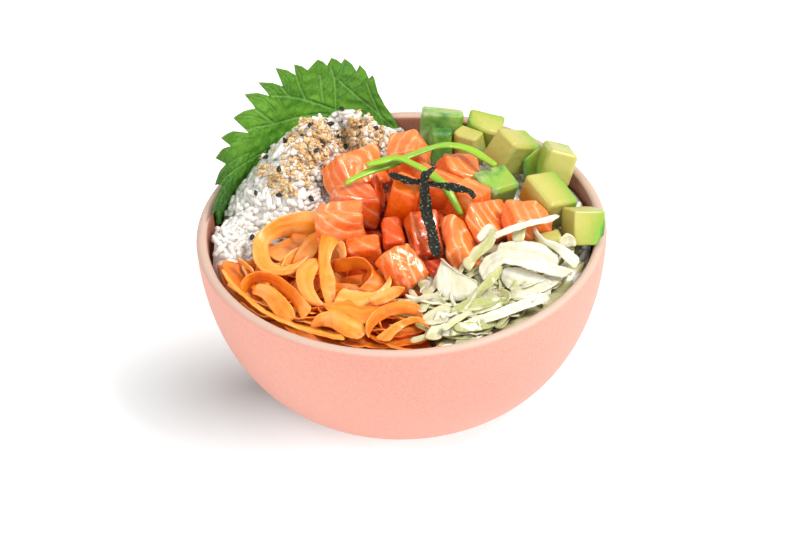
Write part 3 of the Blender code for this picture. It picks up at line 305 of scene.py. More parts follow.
add_camera()
lay_floor()
add_lamp("key_lamp", place=(0.85, -0.2, 1.25), size=0.45, watts=22.0, colour=(1.0, 0.985, 0.96))
add_lamp("front_fill", place=(-0.1, -1.4, 0.45), size=1.0, watts=3.6, colour=(1.0, 0.99, 0.98))
add_lamp("left_fill", place=(-0.8, -0.6, 1.1), size=0.9, watts=7.5, colour=(1.0, 1.0, 1.0))
world = bpy.data.worlds.new("pale_surround")
bpy.context.scene.world = world
world.use_nodes = True
surround = world.node_tree.nodes["Background"]
surround.inputs["Color"].default_value = (1.0, 1.0, 1.0, 1.0)
surround.inputs["Strength"].default_value = 0.6
bpy.context.scene.view_settings.view_transform = "Standard"


# Bowl. Turned stoneware 180 mm across and 76 mm high, about 5 mm thick, glazed a matte salmon pink with a
# fine leathery grain. The rounded rim is left cream, and inside, the glaze is painted a darker brown as painted shade.

RIM_RADIUS, BOWL_HEIGHT, BASE_RADIUS, WALL = 90.0, 76.0, 42.0, 5.0
RIM_TURN = BOWL_HEIGHT - WALL / 2
BOWL_STEPS = 192


def outer_radius(height):
    """The outer wall: a quarter of a rounded oval from the flat base to the rim."""
    rise = 1.0 - (1.0 - np.asarray(height) / BOWL_HEIGHT) ** 1.95
    return BASE_RADIUS + (RIM_RADIUS - BASE_RADIUS) * rise ** (1.0 / 2.1)


def bowl_profile():
    """Radius and height from the middle of the base, out, up, over the rim and down to the inner floor."""
    swing = np.linspace(0.03, 1.0, 90) * math.pi / 2
    height = BOWL_HEIGHT * (1.0 - np.cos(swing))
    outer = np.stack([outer_radius(height), height], axis=1)
    along = unit(np.gradient(outer, axis=0))
    inner = outer + WALL * np.stack([-along[:, 1], along[:, 0]], axis=1)
    turn = np.linspace(0, math.pi, 15)
    half = WALL / 2
    rim = np.stack([RIM_RADIUS - half + half * np.cos(turn), RIM_TURN + half * np.sin(turn)], axis=1)
    base = np.stack([np.linspace(0.0, BASE_RADIUS - 1.0, 12), np.zeros(12)], axis=1)
    foot = np.array([(BASE_RADIUS - 0.3, 0.05), (BASE_RADIUS + 0.15, 0.3)])
    below = inner[inner[:, 1] < RIM_TURN][::-1]
    below[:, 0] = np.minimum(below[:, 0], RIM_RADIUS - WALL)
    floor = np.stack([np.linspace(below[-1, 0], 0.0, 8)[1:], np.full(7, below[-1, 1])], axis=1)
    return np.concatenate([base, foot, outer[(height > 0.5) & (height < RIM_TURN)], rim, below, floor])


PROFILE = bowl_profile()
INNER_WALL = PROFILE[len(PROFILE) // 2:][::-1]
INNER_WALL = INNER_WALL[(INNER_WALL[:, 0] < RIM_RADIUS - WALL + 0.01) & (INNER_WALL[:, 1] < RIM_TURN)]


def inner_radius(height):
    """Radius of the bowl's inside at a height."""
    return np.interp(height, INNER_WALL[:, 1], INNER_WALL[:, 0])


def turned(profile, steps):
    """A closed turned form: the profile's rows carried round the Z axis, with one point at each pole."""
    around = np.arange(steps) * math.tau / steps
    body = profile[1:-1]
    rows = polar(body[:, 0, None], around, body[:, 1, None]).reshape(-1, 3)
    points = np.concatenate([rows, [(0, 0, profile[0, 1]), (0, 0, profile[-1, 1])]])
    return points, barrel_tris(len(body), steps)


def glaze():
    """Leathery pink glaze outside, bare cream rim, and inside the same glaze painted a darker brown as painted shade.
    """
    finish, tree, shader = new_finish("bowl_glaze", 0.5, specular_ior_level=0.35)
    height = axes_of(tree, place_of(tree))["Z"]
    mask, normal = relief(tree, 1100.0, 0.0002, 2.5)
    cloudy, _ = relief(tree, 14.0, 0.0001, 2.0)
    outside = mixed(tree, cloudy, "D99684", "DFA293")
    outside = mixed(tree, stretched(tree, mask, 0.35, 0.7), outside, "D6907E")
    # Painted shade: inside the bowl the glaze is painted a darker brown.
    colour = mixed(tree, told(tree, "inside"), outside, "9C6450")
    edge = sum_of(tree, "ADD", height, stretched(tree, cloudy, 0.0, 1.0, -0.0004, 0.0004))
    colour = mixed(tree, stretched(tree, edge, 0.0745, 0.0752), colour, "C4A797")
    finish_with(tree, shader, colour, normal)
    return finish


past_rim = np.arange(len(PROFILE)) > PROFILE[:, 1].argmax()
inside = np.append(np.repeat(past_rim[1:-1], BOWL_STEPS), (False, True)).astype(float)
bowl = add_piece("stoneware_bowl", *turned(PROFILE, BOWL_STEPS), glaze(), {"inside": inside})
dress(bowl, "bowl_glaze", "bowl")


# Rice. Short-grain rice, boiled and seasoned, moist and slightly see-through. It fills the bowl under the
# toppings and is heaped at the back left. The heap's core is the CAD solid's form, covered in loose grains.

GRAIN_SIZE = np.array([7.8, 3.4, 2.9])
GRAINS = 2600
HEAP_MIDDLE = np.array([-28.0, 36.0, 52.0])
GRAIN_SPOTS, GRAINS_ABOVE, GRAINS_WITHIN = 22000, 58.0, 81.0
# The core lies a little lower than the CAD solid, so that the grains on it come to the solid's height.
CORE_SINKS, SINKS_FROM, SINKS_OVER = 0.8, 62.0, 12.0
WELD = 0.002
TOPPING_GAP = 1.6


def triangles_of(name):
    """A CAD node's points in millimetres and its triangles."""
    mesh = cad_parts[name].data
    mesh.calc_loop_triangles()
    points = np.empty(len(mesh.vertices) * 3)
    mesh.vertices.foreach_get("co", points)
    tris = np.empty(len(mesh.loop_triangles) * 3, dtype=np.int32)
    mesh.loop_triangles.foreach_get("vertices", tris)
    return points.reshape(-1, 3) / MM, tris.reshape(-1, 3)


def welded(points, tris):
    """Points that lie in one place made one."""
    _, first, index = np.unique(np.round(points / WELD).astype(np.int64), axis=0, return_index=True,
                                return_inverse=True)
    tris = index.reshape(-1)[tris]
    whole = (tris[:, 0] != tris[:, 1]) & (tris[:, 1] != tris[:, 2]) & (tris[:, 0] != tris[:, 2])
    return points[first], tris[whole]


def tree_of(points, tris):
    """A search tree over a surface."""
    return BVHTree.FromPolygons([tuple(p) for p in points], [tuple(int(i) for i in t) for t in tris])


def gathered(parts):
    """Several meshes as one: their points, their faces, and their values."""
    points, faces, values, start = [], [], {}, 0
    for part_points, part_faces, part_values in parts:
        points.append(part_points)
        faces.append(part_faces + start)
        start += len(part_points)
        for key, value in part_values.items():
            values.setdefault(key, []).append(value)
    return np.concatenate(points), np.concatenate(faces), {k: np.concatenate(v) for k, v in values.items()}


def pip(rings, sides, blunt, taper=0.0, bend=0.0):
    """A small low body along X: radius sin(t) to a power, drawn in towards one end, slightly bent."""
    t = math.pi * np.arange(1, rings + 1) / (rings + 1)
    around = math.tau * (np.arange(sides)[None, :] + 0.5 * (np.arange(rings)[:, None] % 2)) / sides
    radius = 0.5 * np.sin(t) ** blunt * (1.0 - taper * np.cos(t))
    x = np.broadcast_to(-0.5 * np.cos(t)[:, None], around.shape)
    y = radius[:, None] * np.cos(around) + bend * (4 * x * x - 0.4)
    points = np.stack([x, y, radius[:, None] * np.sin(around)], axis=-1).reshape(-1, 3)
    points = np.concatenate([points, [(-0.5, bend * 0.6, 0), (0.5, bend * 0.6, 0)]])
    return points, barrel_tris(rings, sides)[:, ::-1]


def strewn(form, centres, headings, ups, sizes):
    """Copies of a small body: its own X along each heading, its own Z along each up."""
    points, tris = form
    headings = unit(headings)
    sides = unit(np.cross(ups, headings))
    turns = np.stack([headings, sides, np.cross(headings, sides)], axis=-1)
    placed = np.einsum("nij,nkj->nki", turns, points[None] * sizes[:, None, :]) + centres[:, None, :]
    faces = tris[None] + (np.arange(len(centres)) * len(points))[:, None, None]
    return placed.reshape(-1, 3), faces.reshape(-1, 3)


def spots_on(points, tris, count, draw):
    """Random places spread evenly over a surface, with the normals there."""
    corners = points[tris]
    normals = np.cross(corners[:, 1] - corners[:, 0], corners[:, 2] - corners[:, 0])
    area = np.linalg.norm(normals, axis=1)
    chosen = draw.choice(len(tris), count, p=area / area.sum())
    share = draw.random((count, 2))
    share = np.where(share.sum(1)[:, None] > 1, 1 - share, share)
    a, b, c = (corners[chosen, k] for k in range(3))
    places = a + (b - a) * share[:, :1] + (c - a) * share[:, 1:]
    return places, normals[chosen] / area[chosen][:, None]


def rice_finish():
    """White, moist and a little see-through, with each grain a slightly other white."""
    finish, tree, shader = new_finish("cooked_rice", 0.28, (0.0015, 0.0014, 0.0013), subsurface_weight=0.4,
                                      coat_weight=0.3, coat_roughness=0.15)
    mask, normal = relief(tree, 500.0, 0.00012, 2.0)
    colour = mixed(tree, told(tree, "tone"), "DDD9D1", "E8E5DF")
    colour = mixed(tree, stretched(tree, mask, 0.4, 0.75), colour, "E3DED4")
    finish_with(tree, shader, colour, normal)
    return finish


RICE_FINISH = rice_finish()
rice_points, rice_tris = welded(*triangles_of("rice"))
tones = np.full(len(rice_points), 0.6)
rice_points = rice_points - np.clip((rice_points[:, 2:] - SINKS_FROM) / SINKS_OVER, 0, 1) * (0, 0, CORE_SINKS)
rice_core = add_piece("rice_core", rice_points, rice_tris, RICE_FINISH, {"tone": tones})
dress(rice_core, "cooked_rice", "rice")

draw = np.random.default_rng(11)
others = [triangles_of(name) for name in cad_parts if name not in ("rice", "bowl")]
others_points, others_tris, _ = gathered([(p, t, {}) for p, t in others])
others_tree = tree_of(others_points, others_tris)


def clear_of_toppings(places, reach):
    """True where no topping lies within a reach."""
    return np.array([others_tree.find_nearest(Vector(p), reach)[0] is None for p in places])


places, normals = spots_on(rice_points, rice_tris, GRAIN_SPOTS, draw)
shown = (normals[:, 2] > 0.02) & (places[:, 2] > GRAINS_ABOVE) & (np.hypot(*places[:, :2].T) < GRAINS_WITHIN)
places, normals = places[shown], normals[shown]
free = clear_of_toppings(places, TOPPING_GAP)
places, normals = places[free][:GRAINS], normals[free][:GRAINS]
count = len(places)
ups = unit(normals + 0.8 * unit(places - HEAP_MIDDLE) + draw.normal(0, 0.15, (count, 3)))
headings = draw.normal(0, 1, (count, 3))
headings -= (headings * ups).sum(1)[:, None] * ups * draw.uniform(0.85, 1.0, (count, 1))
sizes = GRAIN_SIZE * draw.uniform(0.86, 1.12, (count, 3))
lift = draw.uniform(-0.9, 0.8, (count, 1))
GRAIN = pip(rings=5, sides=6, blunt=0.62, taper=0.08, bend=0.05)
grain_points, grain_tris = strewn(GRAIN, places + ups * lift, headings, ups, sizes)
grain_tones = np.repeat(draw.random(count), len(GRAIN[0]))
grains = add_piece("rice_grains", grain_points, grain_tris, RICE_FINISH, {"tone": grain_tones})
dress(grains, "cooked_rice")


# Sesame. Hulled toasted seeds, tan, strewn in patches over the heap, and single black ones among them. Each is a
# flat drop about 3 mm long, lying on the grains.

# Patches of tan seeds, as X, Y and radius in turn, and black seeds, as X and Y in turn.
TAN_PATCHES = np.reshape([
    -39.3, 40.6, 4.2, -43.9, 38.5, 4.2, -47.0, 36.0, 3.0, -33.5, 41.8, 4.2, -38.0, 37.0, 3.8, -41.7, 32.3, 4.6,
    -44.9, 28.3, 4.2, -48.1, 24.4, 3.8, -51.3, 20.6, 3.2, -58.4, 29.8, 3.6, -54.3, 22.9, 3.2, -47.8, 18.1, 2.8,
    -43.0, 24.8, 3.2, -34.7, 37.6, 3.0, -23.3, 58.4, 4.2, -18.6, 56.8, 3.8, -13.4, 53.1, 4.2, -8.7, 53.6, 3.4,
    -15.9, 52.0, 3.8, -21.2, 55.7, 3.8, -26.8, 53.5, 2.8, -10.2, 50.0, 2.8, -28.5, 47.0, 3.0
], (-1, 3))
BLACK_SEEDS = np.reshape([
    -50.5, 37.5, -48.6, 36.6, -42.2, 36.6, -32.2, 56.0, -30.5, 56.0, -29.2, 56.2, -24.1, 59.8, -16.1, 54.0,
    -9.9, 54.2, -26.3, 54.6, -25.0, 52.4, -34.2, 39.0, -33.1, 37.7, -35.9, 33.3, -59.0, 40.7, -52.9, 24.4,
    -63.6, 21.5, -52.8, 17.0, -38.9, 15.5, -76.6, 17.3, -23.7, 52.9, -37.9, 38.5, -31.4, 54.5, -66.0, 4.0
], (-1, 2))
SEED = pip(rings=4, sides=6, blunt=0.8, taper=0.35)
TAN_SIZE, BLACK_SIZE = np.array([2.7, 1.7, 1.05]), (3.1, 1.95, 1.2)
SEED_SPOTS, SEED_DENSITY, SINGLE_SHARE = 60000, 0.95, 0.0035
CAST_FROM = 150.0
heap_points, heap_tris, _ = gathered([(rice_points, rice_tris, {}), (grain_points, grain_tris, {})])
heap_tree = tree_of(heap_points, heap_tris)


def resting(spots, headings, ups, size, sink):
    """Seeds lowered along their ups onto the rice, or left out where they miss it."""
    landed = [heap_tree.ray_cast(Vector(s + u * 6.0), Vector(-u), 14.0)[0] for s, u in zip(spots, ups)]
    kept = np.array([hit is not None for hit in landed])
    centres = np.array([tuple(hit) for hit in landed if hit is not None]) + ups[kept] * sink
    return strewn(SEED, centres, headings[kept], ups[kept], size[kept]), int(kept.sum())


def seed_finish(name, dark, pale, roughness):
    """A dry husk, mottled between a darker and a paler tone."""
    finish, tree, shader = new_finish(name, roughness)
    mask, normal = relief(tree, 1400.0, 0.0001, 2.0)
    colour = mixed(tree, told(tree, "tone"), dark, pale)
    colour = mixed(tree, stretched(tree, mask, 0.45, 0.8), colour, dark)
    finish_with(tree, shader, colour, normal)
    return finish


spots, normals = spots_on(rice_points, rice_tris, SEED_SPOTS, draw)
away = np.hypot(spots[:, None, 0] - TAN_PATCHES[None, :, 0], spots[:, None, 1] - TAN_PATCHES[None, :, 1])
near = (away / TAN_PATCHES[None, :, 2]).min(axis=1)
density = SEED_DENSITY * np.exp(-near ** 2 * 2.2)
in_patch = (spots[:, 2] > 74.0) & (spots[:, 1] < 57.0) & (draw.random(len(spots)) < density)
single = (spots[:, 2] > 76.0) & (spots[:, 1] > 6.0) & (draw.random(len(spots)) < SINGLE_SHARE)
wanted = (normals[:, 2] > 0.1) & (in_patch | single)
spots, normals = spots[wanted], normals[wanted]
count = len(spots)
ups = unit(normals + draw.normal(0, 0.35, (count, 3)) + (0, 0, 0.6))
headings = np.cross(ups, draw.normal(0, 1, (count, 3)))
sizes = TAN_SIZE * draw.uniform(0.85, 1.12, (count, 3))
(tan_points, tan_tris), laid = resting(spots, headings, ups, sizes, 0.45)
tan_tones = np.repeat(draw.random(laid), len(SEED[0]))
tan_seeds = add_piece("tan_sesame", tan_points, tan_tris,
                      seed_finish("tan_sesame_husk", "B88C50", "EAD2A4", 0.5), {"tone": tan_tones})
dress(tan_seeds, "cooked_rice")

count = len(BLACK_SEEDS)
ups = unit(np.tile((0.0, -0.35, 1.0), (count, 1)) + draw.normal(0, 0.25, (count, 3)))
headings = np.cross(ups, draw.normal(0, 1, (count, 3)))
sizes = np.tile(BLACK_SIZE, (count, 1)) * draw.uniform(0.92, 1.1, (count, 1))
tops = [heap_tree.ray_cast(Vector((x, y, CAST_FROM)), Vector((0, 0, -1)))[0] for x, y in BLACK_SEEDS]
(black_points, black_tris), laid = resting(np.array([tuple(t) for t in tops]), headings, ups, sizes, 0.8)
black_seeds = add_piece("black_sesame", black_points, black_tris,
                        seed_finish("black_sesame_husk", "17130F", "34291F", 0.4),
                        {"tone": np.repeat(draw.random(laid), len(SEED[0]))})
dress(black_seeds, "cooked_rice")


# Diced salmon. Raw fillet cut by hand in rough cubes, wet, with curved white lines of fat between its layers.
# Each cube keeps the place and the flat sides of its CAD solid, and its edges are soft.

GRID = 32
SALMON_SHARPNESS = 26.0
FURROW_DEPTH = 0.22
OUTSIDE_REACH, SKIN = 60.0, 0.3


def directions(steps):
    """Directions evenly over a sphere from the six faces of a cube, with faces that point outwards."""
    t = np.tan(np.linspace(-math.pi / 4, math.pi / 4, steps))
    a, b = np.meshgrid(t, t, indexing="ij")
    one = np.ones_like(a)
    sides = [np.stack(side, axis=-1).reshape(-1, 3) for side in
             ((one, a, b), (-one, a, b), (a, one, b), (a, -one, b), (a, b, one), (a, b, -one))]
    faces = np.concatenate([grid_faces(steps, steps) + k * steps * steps for k in range(6)])
    points = unit(np.concatenate(sides))
    _, first, index = np.unique(np.round(points, 6), axis=0, return_index=True, return_inverse=True)
    points, faces = points[first], index.reshape(-1)[faces]
    corner = points[faces]
    normal = np.cross(corner[:, 1] - corner[:, 0], corner[:, 2] - corner[:, 0])
    inward = (normal * corner.mean(axis=1)).sum(1) < 0
    faces[inward] = faces[inward][:, ::-1]
    return points, faces


SPHERE, SPHERE_FACES = directions(GRID)


def flat_sides(name):
    """The middle of a CAD solid, and the normals and distances of its large flat sides."""
    points, tris = triangles_of(name)
    corners = points[tris]
    normals = np.cross(corners[:, 1] - corners[:, 0], corners[:, 2] - corners[:, 0])
    area = np.linalg.norm(normals, axis=1) / 2
    keep = area > 1e-6
    normals, area, corners = normals[keep] / (2 * area[keep, None]), area[keep], corners[keep]
    middle = (corners.mean(axis=1) * area[:, None]).sum(0) / area.sum()
    sides = []
    for normal, size, corner in sorted(zip(normals, area, corners), key=lambda row: -row[1]):
        for side in sides:
            if side[0] @ normal > 0.992 and abs(side[0] @ corner[0] - side[2]) < 0.4:
                side[1] += size
                break
        else:
            sides.append([normal, size, normal @ corner[0]])
    sides = [s for s in sides if s[1] > 0.02 * area.sum()]
    sides.sort(key=lambda row: -row[1])
    return middle, np.array([s[0] for s in sides]), np.array([s[2] for s in sides])


def waves(points, size, seed, count=5):
    """Soft unevenness between about -1 and 1: sine waves of about a size in millimetres, in random directions."""
    dice = np.random.default_rng(seed)
    ways = unit(dice.normal(0, 1, (count, 3)))
    stretch = dice.uniform(0.6, 1.5, count)
    phases = dice.uniform(0, math.tau, count)
    return np.sin(points @ ways.T * (math.tau / size * stretch) + phases).mean(axis=1) * 1.6


def soft_cube(name, sharpness, wobble, seed):
    """A rounded many-sided solid: in each direction the radius is 1 / (sum (n.d / h)^p)^(1/p)."""
    middle, normals, levels = flat_sides(name)
    first = normals[0]
    second = normals[np.abs(normals @ first).argmin()]
    third = unit(np.cross(first, second))
    axes = np.stack([first, np.cross(third, first), third])
    ways = SPHERE @ axes
    reach = levels - normals @ middle
    radius = (np.maximum(ways @ normals.T / reach, 0.0) ** sharpness).sum(axis=1) ** (-1.0 / sharpness)
    solid = tree_of(*triangles_of(name))
    reach = [solid.ray_cast(Vector(middle + way * OUTSIDE_REACH), Vector(-way))[3] for way in ways]
    radius = np.minimum(radius, OUTSIDE_REACH + SKIN - np.array(reach))
    points = middle + ways * radius[:, None]
    uneven = wobble * waves(points, 14.0, seed) + 0.3 * wobble * waves(points, 5.0, seed + 50)
    return points + ways * uneven[:, None], ways, middle


# One row for each piece from salmon_01 on: the way across its fat lines, how far off they curve round, their spacing,
# how pale, how deep red and how fatty it is, and how crumpled. The pieces under the others have the last row,
# whose deep red is painted shade.
SALMON_LOOKS = (
    ((0.8, -0.5, 0.3), 30, 5.0, 0.45, 0.0, 0.6, 0.6), ((0.3, -0.6, 0.8), 20, 4.6, 0.45, 0.05, 0.8, 1.1),
    ((0.9, 0.2, 0.2), 40, 5.0, 0.1, 0.4, 0.3, 1.0), ((0.4, 0.9, 0.1), 40, 6.0, 0.2, -0.2, 0.4, 0.4),
    ((0.8, 0.4, 0.3), 24, 4.2, 0.7, 0.0, 0.6, 0.6), ((0.6, 0.7, 0.2), 40, 5.6, 0.3, 0.0, 0.5, 0.6),
    ((0.8, 0.45, 0.35), 26, 3.9, 0.45, 0.0, 1.0, 0.6), ((0.9, 0.2, 0.3), 24, 4.4, 0.7, 0.0, 0.7, 0.6),
    ((0.3, 0.2, 0.9), 60, 14.0, 0.0, 0.0, 0.1, 0.35), ((0.5, 0.3, 0.8), 16, 4.0, 0.75, 0.0, 0.9, 1.5),
    ((0.7, 0.5, 0.4), 24, 4.8, 0.2, 0.35, 0.6, 0.6), ((0.5, 0.4, 0.7), 40, 6.0, 0.15, 0.25, 0.3, 0.6),
    ((1.0, 0.1, 0.1), 28, 3.6, 0.4, 0.0, 1.0, 0.9), ((0.9, -0.1, 0.3), 22, 4.0, 0.55, 0.0, 1.0, 0.6),
    ((0.6, 0.6, 0.3), 40, 6.0, 0.0, 0.7, 0.3, 0.6), ((0.8, 0.1, 0.5), 40, 5.0, 0.05, 0.6, 0.4, 0.6),
    ((0.8, 0.4, 0.4), 40, 5.0, 0.0, 0.7, 0.3, 0.6), ((0.5, 0.7, 0.4), 40, 5.0, 0.1, 0.5, 0.4, 0.6),
)
HIDDEN_SALMON = ((0.7, 0.5, 0.4), 40, 5.0, 0.0, 0.8, 0.3, 0.6)


def salmon_finish():
    """Wet orange flesh, paler or redder by piece and painted redder low in the pile as painted shade, crossed by
    curved lines of fat.
    """
    finish, tree, shader = new_finish("salmon_flesh", 0.26, (0.0040, 0.0014, 0.0008), subsurface_weight=0.22,
                                      coat_weight=0.4, coat_roughness=0.1)
    mask, normal = relief(tree, 420.0, 0.0003, 3.0)
    broad, _ = relief(tree, 90.0, 0.0003, 2.0)
    flesh = ramp(tree, broad, [(0.3, "EA5606"), (0.52, "F46A0C"), (0.72, "F7822A")])
    pale, deep_and_painted_shade, fatty = axes_of(tree, told(tree, "look", "Vector"))
    flesh = mixed(tree, sum_of(tree, "MULTIPLY", pale, 0.55), flesh, "F29458")
    # Deep red: partly each piece's own colour, partly painted shade low in the pile and on the pieces under the
    # others.
    flesh = mixed(tree, sum_of(tree, "MULTIPLY", deep_and_painted_shade, 0.8), flesh, "B02205")
    bent = put(tree, "ShaderNodeTexNoise", {"Vector": place_of(tree), "Scale": 160.0, "Detail": 2.0}).outputs[0]
    layer = sum_of(tree, "ADD", told(tree, "layer"), sum_of(tree, "MULTIPLY", bent, 0.55))
    part = sum_of(tree, "ABSOLUTE", sum_of(tree, "SUBTRACT", sum_of(tree, "FRACT", layer, 0.0), 0.5), 0.0)
    halo = sum_of(tree, "MULTIPLY", stretched(tree, part, 0.34, 0.05, 0.0, 0.45), fatty)
    flesh = mixed(tree, halo, flesh, "F79F5C")
    line = stretched(tree, part, 0.13, 0.02)
    worn = stretched(tree, broad, 0.38, 0.62, 0.1, 0.7)
    line = sum_of(tree, "MULTIPLY", sum_of(tree, "MULTIPLY", line, worn), fatty)
    colour = mixed(tree, line, flesh, "FAD2B0")
    finish_with(tree, shader, colour, normal, (mask, 0.18, 0.36))
    return finish


SALMON_FINISH = salmon_finish()
for number, name in enumerate(sorted(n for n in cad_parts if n.startswith("salmon"))):
    row = SALMON_LOOKS[number] if number < len(SALMON_LOOKS) else HIDDEN_SALMON
    across, round_off, spacing, pale, deep_and_painted_shade, fatty, crumpled = row
    points, ways, middle = soft_cube(name, SALMON_SHARPNESS, crumpled, number)
    across = unit(np.array(across))
    source = middle + across * round_off + (0.0, 0.0, 4.0)
    layers = np.linalg.norm(points - source, axis=1) / spacing
    part = np.abs(np.mod(layers + 0.27, 1.0) - 0.5)
    points = points - ways * (FURROW_DEPTH * fatty * np.clip(1.0 - part / 0.16, 0.0, 1.0))[:, None]
    looks = np.tile((pale, deep_and_painted_shade, fatty), (len(points), 1))
    # Painted shade: the flesh is painted redder the lower it lies in the pile.
    looks[:, 1] += 0.6 * np.clip((84.0 - points[:, 2]) / 12.0, 0.0, 1.0)
    cube = add_piece(f"diced_{name}", points, SPHERE_FACES, SALMON_FINISH, {"layer": layers, "look": looks})
    dress(cube, "salmon_flesh", name)


# Diced avocado. Ripe flesh, yellow inside and green towards the skin, which is left on in patches.

# One row for each piece from avocado_01 on: the ways towards its skin, how deep the skin's green goes in millimetres,
# how mottled the skin is, and how yellow-orange the inside is on the face away from the lamp,
# partly the flesh's own colour and partly painted shade.
AVOCADO_LOOKS = (
    (((0.0, -1.0, 0.1), (-1.0, 0.0, 0.0), (0.0, 0.0, 1.0)), 1.6, 0.7, 0.0),
    (((0.0, -1.0, 0.1), (-1.0, 0.0, 0.0), (0.0, 0.0, 1.0)), 2.6, 0.2, 0.0), (((0.9, 0.5, -0.2),), 1.2, 0.0, 1.0),
    (((-0.7, 0.7, 0.0), (-1.0, -0.2, 0.0), (0.3, 0.9, 0.2)), 1.2, 0.3, 0.0), (((0.85, 0.4, -0.3),), 1.5, 0.0, 0.25),
    (((-0.9, -0.3, 0.0),), 1.6, 0.4, 0.0), (((-1.0, 0.1, 0.1), (0.6, 0.8, 0.0)), 1.0, 0.2, 0.0),
    (((0.0, -1.0, 0.1), (0.0, 0.0, 1.0), (-1.0, 0.0, 0.0), (1.0, 0.0, 0.0)), 1.8, 1.0, 0.0),
    (((0.85, 0.5, -0.1),), 1.3, 0.1, 0.85), (((0.9, -0.1, -0.3), (0.0, 0.2, -1.0)), 1.5, 0.1, 0.1),
    (((0.5, 0.8, 0.0),), 0.6, 0.0, 0.5),
)
AVOCADO_SHARPNESS, AVOCADO_WOBBLE = 110.0, 0.2


def avocado_finish():
    """Yellow flesh through lime to mottled dark green skin, by the depth under the skin."""
    finish, tree, shader = new_finish("avocado_flesh", 0.36, (0.0030, 0.0024, 0.0008), subsurface_weight=0.2,
                                      coat_weight=0.15, coat_roughness=0.25)
    mask, normal = relief(tree, 350.0, 0.0003, 4.0)
    blotch, _ = relief(tree, 130.0, 0.0002, 3.0)
    depth = sum_of(tree, "ADD", told(tree, "depth"), stretched(tree, blotch, 0.3, 0.7, -0.05, 0.05))
    flesh = ramp(tree, depth, [(0.0, "2F6B26"), (0.06, "4A8C2C"), (0.13, "82B03A"),
                               (0.24, "92AA3E"), (0.5, "ABB04E"), (0.9, "BAB45E")])
    # Orange-brown on the face away from the lamp: partly the flesh's own colour, partly painted shade.
    flesh = mixed(tree, told(tree, "warmth_with_painted_shade"), flesh, "AA6410")
    skin = sum_of(tree, "MULTIPLY", told(tree, "mottled"), stretched(tree, depth, 0.16, 0.06))
    pale = ramp(tree, blotch, [(0.35, "4C7A34"), (0.5, "7A9A4C"), (0.66, "B2BC84")])
    colour = mixed(tree, skin, flesh, pale)
    finish_with(tree, shader, colour, normal, (mask, 0.3, 0.48))
    return finish


AVOCADO_FINISH = avocado_finish()
for number, (skins, green, mottled, warmth_with_painted_shade) in enumerate(AVOCADO_LOOKS):
    name = f"avocado_{number + 1:02d}"
    points, ways, middle = soft_cube(name, AVOCADO_SHARPNESS, AVOCADO_WOBBLE, 200 + number)
    depth = np.full(len(points), 99.0)
    for way in skins:
        level = points @ unit(np.array(way))
        depth = np.minimum(depth, level.max() - level)
    # Painted shade in part: the orange-brown is put only on the face away from the lamp.
    left = (middle - points) @ (0.9, 0.4, 0.1)
    warm_with_painted_shade = warmth_with_painted_shade * np.clip(left / left.max() * 5 - 3.0, 0, 1) * np.clip(depth / 4 - 0.5, 0, 1)
    looks = {"depth": depth / (10.0 * green), "mottled": mottled, "warmth_with_painted_shade": warm_with_painted_shade}
    looks = {key: np.broadcast_to(value, len(points)) for key, value in looks.items()}
    cube = add_piece(f"diced_{name}", points, SPHERE_FACES, AVOCADO_FINISH, looks)
    dress(cube, "avocado_flesh", name)


# Carrot ribbons. Raw carrot pared lengthwise into wide curling ribbons, heaped at the front left. The table gives
# the two edge lines of each ribbon that shows, as X, Y and Z of its points in turn; smaller curls lie under them.

